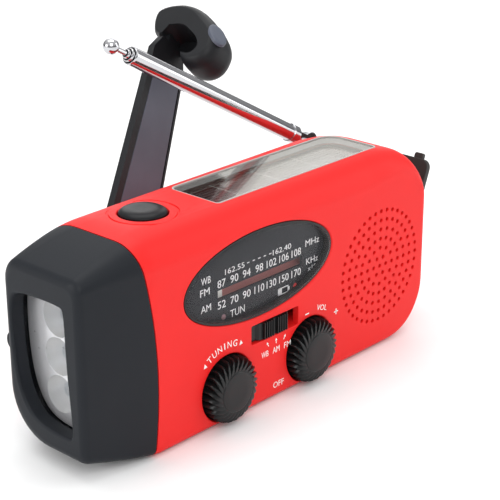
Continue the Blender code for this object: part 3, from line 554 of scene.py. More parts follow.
def speaker_holes():
    """The grille's holes as one cutter, each flared at the face."""
    points, faces, sides = [], [], 12
    small = bpy.context.scene.radio_look.hole_radius / MM
    rows = ((-16.2, small), (-18.75, small), (-18.93, small + 0.03), (FRONT, small + 0.1), (FRONT - 1, small + 0.1))
    for ring, count in enumerate(HOLE_RINGS):
        for u, v in circle(*SPEAKER, ring * HOLE_PITCH, count):
            base = len(points)
            for y, radius in rows:
                points += [along("Y", a, b, y) for a, b in circle(u, v, radius, sides)]
            for i in range(len(rows) - 1):
                for j in range(sides):
                    k = (j + 1) % sides
                    low, high = base + i * sides, base + (i + 1) * sides
                    faces.append((low + j, low + k, high + k, high + j))
            last = base + (len(rows) - 1) * sides
            faces += [tuple(base + j for j in range(sides)), tuple(last + j for j in range(sides))]
    return outward(sheet("speaker_holes", points, faces))


def head_side(gap):
    """The round that parts the torch housing from the shells, grown by a gap."""
    return rod("head_side", HEAD_ROUND, "Y", HEAD_ROUND_R + gap, -60, 60, 360)


def duplicate(obj):
    """A copy with its own mesh."""
    copy = obj.copy()
    copy.data = obj.data.copy()
    bpy.context.scene.collection.objects.link(copy)
    return copy


def solar_outline(inset=0.0):
    """The solar window, with its larger radii at the back."""
    x0, x1, y0, y1 = SOLAR
    radii = [radius - inset for radius in (1.4, 1.4, 5.5, 2.6)]
    return box_outline(x0 + inset, x1 - inset, y0 + inset, y1 - inset, radii)


def build_case():
    """The red front shell with its openings and grille, and the red back shell."""
    hollow = case_hollow("hollow")
    front = boolean(case_skin("case_front"), "DIFFERENCE", duplicate(hollow))
    tools = [plate("behind", [(-80, SEAM_Y), (80, SEAM_Y), (80, 60), (-80, 60)], "Z", -10, 80), head_side(GAP / 2)]
    tools.append(opening("dial_hole", oval(*DIAL, 128), "Y", FRONT, -16.5, 0.5))
    for _, x in KNOBS:
        tools.append(opening("well", circle(x, KNOB_Z, WELL_R, 96), "Y", FRONT, WELL_FLOOR, 0.5))
        tools.append(rod("bush", (x, KNOB_Z), "Y", 3.2, -16, -12))
    x0, x1, z0, z1 = SLOT
    tools.append(opening("slot", box_outline(x0, x1, z0, z1, [0.4] * 4, 3), "Y", FRONT, -16.5, 0.25))
    tools.append(speaker_holes())
    tools.append(opening("button_hole", circle(*BUTTON, 6.4, 72), "Z", TOP, 50, 0.5))
    groove = [(8.6, TOP - 0.35), (9.1, TOP - 0.35), (9.35, TOP + 0.5), (8.35, TOP + 0.5)]
    tools.append(lathe("button_groove", BUTTON, "Z", groove, 96))
    tools.append(opening("solar_hole", solar_outline(), "Z", TOP, 50, 0.4))
    (low_x, low_z), (high_x, high_z) = PORT_FLOOR
    side = [(low_x, low_z), (80, low_z), (80, high_z), (high_x, high_z)]
    tools.append(plate("port_recess", side, "Y", PORT_Y0, PORT_Y1))
    tools.append(plate("usb_a_hole", box_outline(-2.5, 11.3, 32.8, 39.2, [0.5] * 4, 3), "X", 50, 80))
    tools.append(plate("micro_hole", box_outline(-12.8, -4.4, 41.5, 45.3, [0.9] * 4, 3), "X", 50, 80))
    tools += [rod("pilot", spot, "Y", 1.2, 4, 40, 16) for spot in SCREWS]
    boolean(front, "DIFFERENCE", *tools)
    done(front, "red_shell", "case", "front_shell")

    back = boolean(case_skin("case_back"), "DIFFERENCE", hollow)
    seam = SEAM_Y + GAP / 2
    tools = [plate("before", [(-80, -60), (80, -60), (80, seam), (-80, seam)], "Z", -10, 80), head_side(GAP / 2)]
    tools.append(opening("crank_hole", circle(*CRANK, 2.9, 32), "Y", BACK, 5, 0.4))
    tools.append(rod("antenna_rail", ANTENNA[1:], "X", 3.0, -36, 52, 48))
    tools.append(plate("antenna_corner", [(47.5, 15.7), (80, 15.7), (80, 40), (47.5, 40)], "Z", 44.5, 80))
    tools.append(rod("antenna_thread", (ANTENNA[0], ANTENNA[2]), "Y", 1.0, 5, 40, 16))
    for spot in SCREWS:
        tools.append(rod("clearance", spot, "Y", 1.4, 5, 40, 16))
        tools.append(opening("counterbore", circle(*spot, 2.9, 32), "Y", BACK, 15.9, 0.3, 20))
    boolean(back, "DIFFERENCE", *tools)
    done(back, "red_shell", "case", "back_shell")


# ---------------------------------------------------------------- torch


def lens_outline(grow):
    """The D-shaped window of the torch as (y, z), drawn outwards by grow."""
    corners = ((6.9, 43.9), (-8.7, 44.4), (-9.9, 43.2), (-10.0, 29.8), (-10.8, 19.0), (-11.4, 11.2))
    corners += ((-10.2, 9.9), (-0.9, 10.2), (4.1, 12.2), (7.5, 17.6), (8.9, 25.0), (9.5, 34.0), (9.2, 41.4))
    middle = Vector((-0.6, 28.0))
    spread = [tuple(Vector(p) + (Vector(p) - middle).normalized() * grow) for p in corners]
    return rounded(spread, 3)


def build_torch():
    """The black housing with its strap lug, the window, the reflector and three lamps."""
    head = case_skin("torch_housing")
    lug = plate("lug", box_outline(11.0, 18.9, 23.2, 28.4, [0.3, 2.5, 2.5, 0.3]), "X", -59.4, -56.6)
    boolean(head, "UNION", lug)
    boolean(head, "INTERSECT", head_side(-GAP / 2))
    space = case_hollow("head_hollow")
    hole = opening("lens_hole", lens_outline(0), "X", LEFT, -55, 0.8)
    boolean(head, "DIFFERENCE", space, hole, rod("eye", (16.4, 25.8), "X", 1.2, -64, -55))
    done(head, "black_soft", "case", "torch_head")

    lens = plate("torch_window", lens_outline(1.1), "X", -60.8, -59.5, 0.25)
    done(lens, "clear", "case", "torch_lens", finish_name="smoked_polycarbonate")

    reflector = plate("torch_mirror", lens_outline(1.1), "X", -59.2, -50.4, 0.2)
    for z in LED_ZS:
        bowl = [(0, -60.2), (5.1, -60.2), (5.0, -59.2), (4.9, -58.4), (4.7, -57.4), (4.4, -56.2), (4.0, -55.0)]
        bowl += [(3.5, -53.6), (2.9, -52.0), (2.9, -49), (0, -49)]
        boolean(reflector, "DIFFERENCE", lathe("bowl", (LED_Y, z), "X", bowl, 64))
    done(reflector, "silvered", "case", "torch_reflector", angle=40)
    for i, z in enumerate(LED_ZS, 1):
        turns = (0.25, 0.5, 0.75, 1.0, 1.25, 1.57)
        dome = [(0, -57.4)] + [(2.4 * math.sin(a), -55 - 2.4 * math.cos(a)) for a in turns]
        dome += [(2.4, -50.2), (2.6, -50.2), (2.6, -49.3), (0, -49.3)]
        done(lathe(f"lamp_{i}", (LED_Y, z), "X", dome), "led_clear", "case", f"torch_led_{i}")
        chip = [(0, -53.6), (0.9, -53.6), (1.3, -53.0), (1.7, -51.4), (0, -51.4)]
        die = lathe(f"lamp_die_{i}", (LED_Y, z), "X", chip, 24)
        done(die, "led_clear", "case", finish_name="led_phosphor")


def build_button():
    """The push button: a low dome on a flanged stem."""
    profile = [(0, 51.8), (1.6, 51.8), (1.6, 54.0), (7.2, 54.0), (7.2, 55.3), (6.1, 55.3), (6.1, TOP + 0.1)]
    profile += [(5.95, TOP + 0.3), (5.6, TOP + 0.62), (5.1, TOP + 0.88), (4.5, TOP + 1.08), (3.6, TOP + 1.22)]
    profile += [(2.6, TOP + 1.2), (1.4, TOP + 1.12), (0, TOP + 1.1)]
    button = lathe("push_button", BUTTON, "Z", profile, 72)
    done(button, "black_gloss", "button", "torch_button", finish_name="button_rubber")


# ---------------------------------------------------------------- dial and controls


def letters(text, centre, width, height, y, turn=0.0):
    """Raised print in mm, scaled to its width and height, facing the front."""
    bpy.ops.object.select_all(action="DESELECT")
    bpy.ops.object.text_add()
    obj = bpy.context.object
    obj.data.body = text
    obj.data.align_x = obj.data.align_y = "CENTER"
    obj.data.resolution_u = 3
    obj.data.extrude = 0.02
    bpy.ops.object.convert(target="MESH")
    mesh = obj.data
    xs, ys = [v.co.x for v in mesh.vertices], [v.co.y for v in mesh.vertices]
    middle = Vector(((min(xs) + max(xs)) / 2, (min(ys) + max(ys)) / 2, 0))
    size = (width / (max(xs) - min(xs)), height / (max(ys) - min(ys)), 1)
    mesh.transform(Matrix.Diagonal((*[s * MM for s in size[:2]], MM, 1)) @ Matrix.Translation(-middle))
    stand = Matrix.Rotation(math.pi / 2, 4, "X") @ Matrix.Rotation(turn, 4, "Z")
    mesh.transform(Matrix.Translation(Vector((centre[0], y, centre[1])) * MM) @ stand)
    return obj


def joined(name, objs):
    """Several meshes as one piece."""
    bpy.ops.object.select_all(action="DESELECT")
    for obj in objs:
        obj.select_set(True)
    bpy.context.view_layer.objects.active = objs[0]
    bpy.ops.object.join()
    objs[0].name = objs[0].data.name = name
    return objs[0]


def mark(outline, y):
    """A flat printed mark with a little thickness."""
    return plate("mark", outline, "Y", y - 0.02, y + 0.02)


def build_dial():
    """The domed oval window and its rim, the plate with its slot, two small lamps, and the print."""
    x, z, a, b = DIAL
    loops = []
    crown = ((-17.0, 0), (-18.9, 0), (-19.1, 0.12), (-19.25, 0.4), (-19.38, 1.2), (-19.46, 3.0), (-19.5, 6.0))
    for y, grow in crown:
        loops.append([(u, y, v) for u, v in oval(x, z, a - 0.75 - grow, b - 0.75 - grow, 96)])
    done(skin("dial_glass", loops), "clear", "case", "dial_window", finish_name="smoked_polycarbonate")

    rim = plate("dial_rim", oval(x, z, a - 0.12, b - 0.12, 96), "Y", -18.85, -16.72)
    boolean(rim, "DIFFERENCE", plate("hole", oval(x, z, a - 0.8, b - 0.8, 96), "Y", -20, -16))
    done(rim, "black_gloss", "case")

    face = plate("dial_face", oval(x, z, 29.4, 12.8, 96), "Y", -16.7, -15.9)
    x0, x1, z0, z1 = -19.9, 12.5, 34.2, 36.6
    boolean(face, "DIFFERENCE", plate("bar", [(x0, z0), (x1, z0), (x1, z1), (x0, z1)], "Y", -18, -14))
    done(face, "print_black", "case", "dial_plate")

    for name, spot in (("tuning_lens", (-17.9, 28.8)), ("charge_lens", (9.7, 28.9))):
        lens = lathe(name, spot, "Y", [(0, -17.0), (0.35, -16.97), (0.65, -16.88), (0.8, -16.72), (0, -16.72)], 24)
        lit = "red_diffused_epoxy" if name == "charge_lens" else "dull_lens"
        done(lens, "led_red", "case", finish_name=lit)

    y = DIAL_INK_Y
    rows = [
        ("WB", (-24.1, 40.7), 3.4, 1.9),
        ("FM", (-24.5, 37.7), 3.4, 1.9),
        ("AM", (-24.2, 33.2), 3.6, 1.9),
        ("162.55", (-13.6, 40.9), 7.2, 1.5),
        ("- - - - -", (-4.4, 41.0), 9.3, 0.25),
        ("162.40", (4.4, 40.9), 7.2, 1.5),
        ("MHz", (16.6, 39.7), 5.6, 1.8),
        ("KHz", (16.6, 34.4), 4.8, 1.7),
        ("x10", (16.6, 32.2), 3.4, 1.4),
        ("TUN", (-12.7, 28.8), 5.4, 2.0),
    ]
    made = [letters(text, spot, w, h, y) for text, spot, w, h in rows]
    fm = ("87", "90", "94", "98", "102", "106", "108")
    am = ("52", "70", "90", "110", "130", "150", "170")
    for names, row_z in ((fm, 38.3), (am, 32.5)):
        for i, text in enumerate(names):
            wide = 2.9 if len(text) == 2 else 3.75
            spot = (-18.5, -13.8, -9.2, -4.4, 0.3, 5.2, 10.1)[i]
            made.append(letters(text, (spot, row_z), wide, 2.1, y))
    # The battery sign: a frame with a pip, part filled.
    battery = ((2.9, 28.0, 7.0, 28.25), (2.9, 29.75, 7.0, 30.0), (2.9, 28.0, 3.5, 30.0))
    battery += ((6.75, 28.0, 7.0, 30.0), (7.0, 28.5, 7.5, 29.5), (3.4, 28.2, 4.4, 29.8))
    for u0, v0, u1, v1 in battery:
        made.append(mark([(u0, v0), (u1, v0), (u1, v1), (u0, v1)], y))
    done(joined("dial_print", made), "white_nylon", "case", finish_name="white_ink")


def build_body_print():
    """White print on the red front: names of the controls and their arrows."""
    y, made = FRONT - 0.01, []
    tuning_x = KNOBS[0][1]
    for text, angle in (("T", 123), ("U", 113.5), ("N", 104), ("I", 95.5), ("N", 87), ("G", 77)):
        a = math.radians(angle)
        spot = (tuning_x + LABEL_R * math.cos(a), KNOB_Z + LABEL_R * math.sin(a))
        made.append(letters(text, spot, 0.35 if text == "I" else 1.5, 1.8, y, a - math.pi / 2))
    for angle, way in ((131, 1), (68, -1)):
        a = math.radians(angle)
        tip = Vector((math.cos(a + way * 0.09), math.sin(a + way * 0.09))) * LABEL_R
        low, high = (Vector((math.cos(a), math.sin(a))) * r for r in (11.5, 12.9))
        made.append(mark([(tuning_x + p[0], KNOB_Z + p[1]) for p in (tip, low, high)], y))
    rows = (("WB", -4.7, 2.7), ("AM", -0.3, 2.7), ("FM", 4.2, 2.7))
    for text, x, wide in rows:
        made.append(letters(text, (x, 14.4), wide, 1.7, y))
    made.append(letters("OFF", (0.7, 4.0), 4.2, 1.7, y))
    made.append(letters("VOL", (18.3, 20.5), 4.3, 1.6, y, math.radians(-17)))
    made.append(mark([(11.4, 20.35), (12.9, 20.35), (12.9, 20.7), (11.4, 20.7)], y))
    for w, h in ((0.85, 0.18), (0.18, 0.85)):
        u, v = 24.4, 17.3
        made.append(mark([(u - w, v - h), (u + w, v - h), (u + w, v + h), (u - w, v + h)], y))
    for x, turn in ((-3.6, 0.5), (-0.3, 0.0), (3.0, -0.5)):
        shaft = Matrix.Rotation(turn, 2)
        for shape in ([(-0.12, -0.7), (0.12, -0.7), (0.12, 0.2), (-0.12, 0.2)], [(-0.4, 0.1), (0.4, 0.1), (0, 0.8)]):
            spots = [shaft @ Vector(p) for p in shape]
            made.append(mark([(x + p[0], 16.9 + p[1]) for p in spots], y))
    done(joined("body_print", made), "white_nylon", "case", finish_name="white_ink")


def build_knobs():
    """Two knobs whose grooves run up the side and sweep a little round the face."""
    look = bpy.context.scene.radio_look
    sides = look.knob_ribs * 8
    rows = ((-15.5, 8.95, 0.3), (-16.2, 9.1, 1.0), (-18.5, 9.1, 1.25), (-20.2, 9.05, 1.35), (-20.9, 8.9, 1.4))
    rows += ((-21.5, 8.5, 1.4), (-21.95, 7.9, 1.35), (-22.2, 7.2, 1.15), (-22.35, 6.5, 0.8), (-22.4, 6.0, 0.35))
    rows += ((-22.4, 5.7, 0.0),)
    rows += ((-22.4, 5.5, 0.0), (KNOB_FACE + 0.05, 5.4, 0.0), (KNOB_FACE, 5.25, 0.0), (KNOB_FACE, 3.0, 0.0))
    for name, x in KNOBS:
        loops = []
        for y, radius, depth in rows:
            sweep = 0.34 * (9.0 - min(9.0, radius)) / 3
            loop = []
            for i in range(sides):
                share = (i / 8) % 1.0
                groove = look.rib_depth * depth * max(0.0, math.sin(math.pi * share)) ** 2.2
                angle = math.tau * i / sides + sweep
                reach = radius - groove
                loop.append((x + reach * math.cos(angle), y, KNOB_Z + reach * math.sin(angle)))
            loops.append(loop)
        body = skin(f"{name}_dial_knob", loops)
        boolean(body, "UNION", rod("spindle", (x, KNOB_Z), "Y", 2.9, -16, -11.2))
        done(body, "black_gloss", name, f"{name}_knob", angle=38)


def build_slider():
    """The band slider, with a row of fine ribs and a step in them."""
    x0, z0, z1 = SLOT[0] + GAP, SLOT[2] + GAP, SLOT[3] - GAP
    profile = [(x0, -16.8), (x0 + 13.8, -16.8), (x0 + 13.8, -18.9)]
    for i in range(10):
        right = x0 + 13.3 - 0.86 * i - (0.9 if i > 4 else 0)
        profile += [(right, -18.8), (right - 0.1, -19.5), (right - 0.45, -19.5), (right - 0.55, -18.8)]
    profile += [(x0 + 2.9, -18.7), (x0 + 2.2, -17.9), (x0, -17.9)]
    body = plate("band_knob", profile, "Z", z0, z1, 0.06, 2, 40)
    stem = plate("stem", [(-5.0, -17.4), (-2.0, -17.4), (-2.0, -15.3), (-5.0, -15.3)], "Z", 20.2, 22.5)
    boolean(body, "UNION", stem)
    done(body, "black_gloss", "slider", "band_slider")


# ---------------------------------------------------------------- top and ports


def build_solar():
    """The window, the film under it, and the lining round the opening."""
    window = plate("solar_glass", solar_outline(0.55), "Z", 55.9, 57.5, 0.3, 3)
    done(window, "clear", "case", "solar_window", finish_name="solar_polycarbonate")
    x0, x1, y0, y1 = SOLAR
    outline = box_outline(x0 - 1.5, x1 - 0.5, y0 + 0.4, y1 + 0.4, [0.3] * 4, 2)
    done(plate("solar_film_panel", outline, "Z", 53.2, 54.5, 0.1), "solar_cells", "case", "solar_panel")
    # The lining of the opening: a pale frame that catches the light as a thin edge.
    lining = plate("solar_lining", solar_outline(0.05), "Z", 55.75, 57.75)
    boolean(lining, "DIFFERENCE", plate("hole", solar_outline(0.5), "Z", 54, 59))
    done(lining, "silvered", "case", finish_name="border_grey")


def build_ports():
    """The rubber flap on its barrel, with a finger tab, standing open."""
    turn = Matrix.Translation((COVER_AXIS[0], 0, COVER_AXIS[1])) @ Matrix.Rotation(COVER_OPEN, 4, "Y")
    left, right = PORT_Y0 + GAP, PORT_Y1 - GAP
    face = box_outline(left, right, 0, COVER_LENGTH, [0.6, 0.6, 2.5, 2.5], 8)
    flap = plate("flap", face, "X", -COVER_T / 2, COVER_T / 2, 0.25, 2)
    barrel = rod("barrel", (0, 0), "Y", COVER_T / 2 + 0.05, left + 0.1, right - 0.1)
    tab = plate("tab", box_outline(-11.9, -8.9, 20, COVER_LENGTH + 1.6, [0.3, 0.3, 0.7, 0.7]), "X", -0.5, 0.7)
    boolean(flap, "UNION", barrel, tab)
    done(place(flap, turn), "rubber_black", "cover", "port_cover")


# ---------------------------------------------------------------- crank


def arm_frame(distance):
    """The frame of the arm: x across it, y out of its inner face, z along it, at this distance."""
    level = math.cos(ARM_LEAN)
    out = Vector((math.sin(ARM_TURN) * level, math.sin(ARM_LEAN), math.cos(ARM_TURN) * level))
    across = Vector((math.cos(ARM_TURN), 0, -math.sin(ARM_TURN)))
    basis = Matrix((across, across.cross(out), out)).transposed().to_4x4()
    return Matrix.Translation(Vector((CRANK[0], ARM_START, CRANK[1])) + out * distance) @ basis


def arm_edges(distance, inset=0.0):
    """Where the arm's two sides are at this distance along it: it narrows towards the grip."""
    return -9.6 + 0.023 * (distance - 18) + inset, 9.7 - 0.061 * (distance - 39) - inset


def build_crank():
    """The hub with its lugs, the tapered arm, and the panel set into the arm."""
    profile = [(0, 1.2), (2.5, 1.2), (2.5, BACK + 0.35), (12.6, BACK + 0.35), (13, BACK + 0.55), (13, BACK + 1.5)]
    profile += [(12.8, BACK + 1.85), (12.3, BACK + 2.1), (10.2, BACK + 2.1), (10.0, BACK + 1.9)]
    profile += [(9.7, BACK + 1.9), (9.5, BACK + 2.1), (0, BACK + 2.1)]
    hub = lathe("hub", CRANK, "Y", profile, 96)
    foot = arm_frame(ARM_FOOT)
    flat = Matrix.Translation(foot.translation) @ Matrix.Rotation(ARM_TURN, 4, "Y")
    for side in (-1, 1):
        low, high = sorted((side * 4.0, side * 6.6))
        arch = [(-3.6, -3.8)] + [(y, -z) for z, y in circle(0, 0, HINGE_R, 32)[:17]] + [(-3.6, 3.8)]
        lug = place(plate("lug", arch, "X", low, high, 0.2), flat)
        boolean(hub, "UNION", lug)
    boolean(hub, "DIFFERENCE", place(rod("bore", (0, 0), "X", CRANK_BORE, -10, 10), flat))
    done(hub, "black_soft", "crank", "crank_hub", finish_name="charcoal_abs")

    end, half = GRIP_AT - ARM_FOOT, ARM_T / 2
    (foot_l, foot_r), (head_l, head_r) = arm_edges(17), arm_edges(72.5)
    face = [(-3.7, 0), (3.7, 0), (3.7, 2), (foot_r, 11), (head_r, 66.5), (5.6, 71.6), (2.6, 72.2)]
    face += [(2.6, end), (-2.6, end), (-2.6, 72.2), (-5.6, 71.6), (head_l, 66.5), (foot_l, 11), (-3.7, 2)]
    arm = plate("arm", face, "Y", -half, half)
    tip = rod("tip", (0, end), "X", HINGE_R, -2.6, 2.6, 48)
    boolean(arm, "UNION", tip, rod("heel", (0, 0), "X", HINGE_R, -3.7, 3.7, 48))
    tray = []
    for distance in (20.0, 69.5):
        left, right = arm_edges(distance, 0.9)
        tray += [(left + 1.6, distance - ARM_FOOT), (right, distance - ARM_FOOT)]
    tray = [tray[0], tray[1], tray[3], tray[2]]
    boolean(arm, "DIFFERENCE", plate("tray", tray, "Y", half - 0.9, 5.0))
    for z in (0, end):
        boolean(arm, "DIFFERENCE", rod("bore", (0, z), "X", 1.25, -10, 10))
    bevel(arm, 0.25, 2, 50)
    done(place(arm, foot), "slate", "arm", "crank_arm", finish_name="charcoal_abs")
    inlay = [(x - math.copysign(GAP, x), z + (GAP if z < 40 else -GAP)) for x, z in tray]
    panel = plate("arm_panel", inlay, "Y", half - 0.6, half - 0.1, 0.12)
    done(place(panel, foot), "slate", "arm", "arm_inlay")


GRIP_OUTER = ((-3.9, -2.0), (-2.6, -3.6), (-0.1, -4.3), (2.9, -4.4), (5.2, -3.4), (6.2, -0.2), (6.0, 4.7))
GRIP_OUTER += ((4.6, 8.8), (2.2, 12.4), (-1.2, 15.7), (-4.9, 18.3), (-7.8, 19.6), (-10.6, 19.9), (-13.8, 19.0))
GRIP_OUTER += ((-16.0, 17.2), (-17.0, 14.4), (-16.6, 11.2), (-15.2, 8.8))
GRIP_INNER = ((-13.4, 9.6), (-13.4, 12.4), (-11.4, 14.2), (-8.4, 13.2), (-5.4, 10.6), (-2.6, 7.2), (-1.8, 2.6))


def curve_through(points, between):
    """Points on a smooth open curve through these, with some more between each two."""
    out = []
    spots = [Vector(p) for p in points]
    spots = [spots[0] * 2 - spots[1]] + spots + [spots[-1] * 2 - spots[-2]]
    for i in range(1, len(spots) - 2):
        a, b, c, d = spots[i - 1 : i + 3]
        for step in range(between):
            t = step / between
            bend, twist = 2 * a - 5 * b + 4 * c - d, 3 * b - a - 3 * c + d
            out.append(0.5 * ((2 * b) + (c - a) * t + bend * t * t + twist * t**3))
    return out + [spots[-2]]


def build_grip():
    """The hooked grip, lofted across its width, and the inlay under the thumb."""
    where = arm_frame(GRIP_AT)
    half = GRIP_W / 2
    middle, side_round, side_draw, loops = Vector((-5.5, 9.0)), 4.2, 2.6, []
    outer, inner = curve_through(GRIP_OUTER, 4), curve_through(GRIP_INNER, 3)
    sides = [(-1, math.pi / 2 * i / 7) for i in range(8)] + [(1, math.pi / 2 * (7 - i) / 7) for i in range(8)]
    for side, angle in sides:
        x = side * (half - side_round + side_round * math.cos(angle))
        draw = side_draw * (1 - math.sin(angle))
        loop = []
        for p in outer:
            q = p - (p - middle).normalized() * draw
            loop.append((x, q[1], q[0]))
        loops.append(loop + [(x, p[1], p[0]) for p in inner])
    grip = skin("grip", loops)
    # A web behind the hollow of the hook.
    web = plate("web", [(p[1], p[0]) for p in inner] + [(-1.0, -3.0), (5.0, -9.5)], "X", 3.4, 4.8)
    boolean(grip, "UNION", web)
    place(grip, where)
    slot = place(plate("slot", [(-12, -8), (-12, 3.4), (9, 3.4), (9, -8)], "X", -3.0, 3.0), where)
    # The thumb inlay sits on the rounded shoulder, leaning out and to the left.
    lean = Matrix.Rotation(math.radians(26), 4, "X") @ Matrix.Rotation(math.radians(27), 4, "Z")
    seat = where @ Matrix.Translation((-3.75, 18.87, -7.4)) @ lean
    hollow = place(plate("hollow", oval(0, 0, 3.1, 4.6, 64), "Y", -0.9, 6), seat)
    bore = place(rod("bore", (0, 0), "X", 1.25, -12, 12), where)
    boolean(grip, "DIFFERENCE", slot, bore, hollow)
    done(grip, "black_soft", "grip", "crank_grip", angle=40, finish_name="charcoal_abs")
    loops = []
    for y, grow in ((-0.6, 0.0), (0.1, 0.0), (0.3, 0.1), (0.42, 0.3), (0.5, 0.8), (0.55, 1.6)):
        loops.append([(u, y, v) for u, v in oval(0, 0, 2.8 - grow, 4.3 - grow, 64)])
    done(place(skin("thumb_pad", loops), seat), "slate", "grip", "grip_pad")


# ---------------------------------------------------------------- antenna


def build_antenna():
    """The root and three tubes, one in the other, and the rod with its ball."""
    where = Matrix.Translation(ANTENNA) @ Matrix.Rotation(-(math.pi / 2 - ANTENNA_RISE), 4, "Y")
    eye = bevel(rod("root", (0, 0), "Y", 3.1, -1.1, 1.1, 48), 0.2, 2)
    neck = plate("neck", [(-1.7, -1.1), (1.7, -1.1), (1.7, 1.1), (-1.7, 1.1)], "Z", 0, 7, 0.15)
    plug = rod("plug", (0, 0), "Z", 1.8, 6.9, 12)
    boolean(eye, "UNION", neck, plug)
    boolean(eye, "DIFFERENCE", rod("bore", (0, 0), "Y", 1.3, -5, 5))
    done(place(eye, where), "chrome", "antenna", "antenna_root")
    for i, (outer, inner) in enumerate(TUBES):
        start, end = TUBE_START + 0.6 + i * 7.0, TUBE_END + i * 0.8
        profile = [(inner, start), (outer, start)]
        if i == 0:
            profile = [(inner, start), (2.65, start), (2.75, start + 0.1), (2.75, start + 2.9)]
            profile += [(2.65, start + 3), (outer, start + 3.02)]
        profile += [(outer, end - 0.5), (outer - 0.06, end - 0.2), (outer - 0.2, end), (inner, end)]
        body = ("antenna", "section_2", "section_3")[i]
        tube = lathe(f"tube_{i + 1}", (0, 0), "Z", profile, 48)
        done(place(tube, where), "chrome", body, f"antenna_tube_{i + 1}")
    top = TUBE_END + 2.4 + 2.6
    ball = [(0, 30), (ROD_R, 30), (ROD_R, top)]
    ball += [(BALL_R * math.sin(a), top + BALL_R * (1 - math.cos(a))) for a in [0.35 + 0.2 * i for i in range(14)]]
    ball.append((0, top + 2 * BALL_R))
    done(place(lathe("tip_ball", (0, 0), "Z", ball, 40), where), "chrome", "tip", "antenna_tip")


# ---------------------------------------------------------------- carried-over nodes and stage


def build_insides():
    """Gives every CAD node that stays its finish, by its material slot."""
    slots = {part["node"]: part["material_slot"] for part in frame["record"]["subparts"]}
    for name, obj in frame["nodes"].items():
        obj.data.materials.clear()
        obj.data.materials.append(finish(SLOT_FINISH[slots[name]]))


def area_light(name, spot, aim, size, power):
    """A soft box at a spot in metres, turned to its aim."""
    data = bpy.data.lights.new(name, "AREA")
    data.shape, data.size, data.size_y = "RECTANGLE", size[0], size[1]
    data.energy = power
    obj = bpy.data.objects.new(name, data)
    bpy.context.scene.collection.objects.link(obj)
    obj.location = spot
    obj.rotation_euler = (Vector(aim) - Vector(spot)).to_track_quat("-Z", "Y").to_euler()


def build_stage():
    """The floor, the studio light and the camera."""
    scene = bpy.context.scene
    bpy.ops.object.select_all(action="DESELECT")
    bpy.ops.mesh.primitive_plane_add(size=6.0, location=(0, 0, -0.0005))
    floor = bpy.context.object
    floor.name = "floor"
    bpy.ops.object.transform_apply(location=True, rotation=True, scale=True)
    floor.data.materials.append(finish("pale_paper"))
    world = bpy.data.worlds.new("studio")
    world.use_nodes = True
    # A soft box overhead and grey walls, so that chrome has something darker to mirror.
    tree = world.node_tree
    sky = node(tree, "ShaderNodeTexCoord").outputs["Generated"]
    way = node(tree, "ShaderNodeSeparateXYZ", {"Vector": sky})
    ramp = node(tree, "ShaderNodeValToRGB", {"Fac": way.outputs["Z"]})
    ramp.color_ramp.elements[0].position, ramp.color_ramp.elements[0].color = 0.05, (0.22, 0.22, 0.23, 1)
    ramp.color_ramp.elements[1].position, ramp.color_ramp.elements[1].color = 0.55, (1, 1, 1, 1)
    tree.links.new(ramp.outputs["Color"], tree.nodes["Background"].inputs["Color"])
    tree.nodes["Background"].inputs["Strength"].default_value = 0.75
    scene.world = world
    area_light("key", (-0.55, -0.75, 0.75), (0, 0, 0.03), (0.7, 0.7), 5.0)
    area_light("top", (0.1, 0.15, 0.9), (0, 0, 0.03), (0.9, 0.6), 4.2)
    area_light("side", (0.8, -0.6, 0.35), (0, 0, 0.03), (0.4, 0.7), 2.0)
    area_light("rear", (0.8, 0.75, 0.5), (0, 0, 0.05), (0.9, 0.5), 2.2)
    area_light("end", (-0.9, 0.35, 0.35), (-0.05, 0, 0.03), (0.4, 0.4), 3.5)
    data = bpy.data.cameras.new("camera")
    data.lens, data.sensor_width = 108, 36
    data.shift_x, data.shift_y = -0.0023, 0.0238
    data.clip_start, data.clip_end = 0.01, 20
    camera = bpy.data.objects.new("camera", data)
    scene.collection.objects.link(camera)
    spot = Vector((-269.15, -258.40, 184.47)) * MM
    turn, rise, tilt = math.radians(-47.27), math.radians(21.96), math.radians(-0.12)
    back = Vector((math.sin(turn) * math.cos(rise), -math.cos(turn) * math.cos(rise), math.sin(rise)))
    right = Vector((math.cos(turn), math.sin(turn), 0))
    basis = Matrix((right, back.cross(right), back)).transposed()
    roll = Matrix.Rotation(tilt, 3, "Z")
    camera.matrix_world = Matrix.Translation(spot) @ (basis @ roll).to_4x4()
    scene.camera = camera
    scene.view_settings.view_transform = "Standard"


# ---------------------------------------------------------------- the add-on


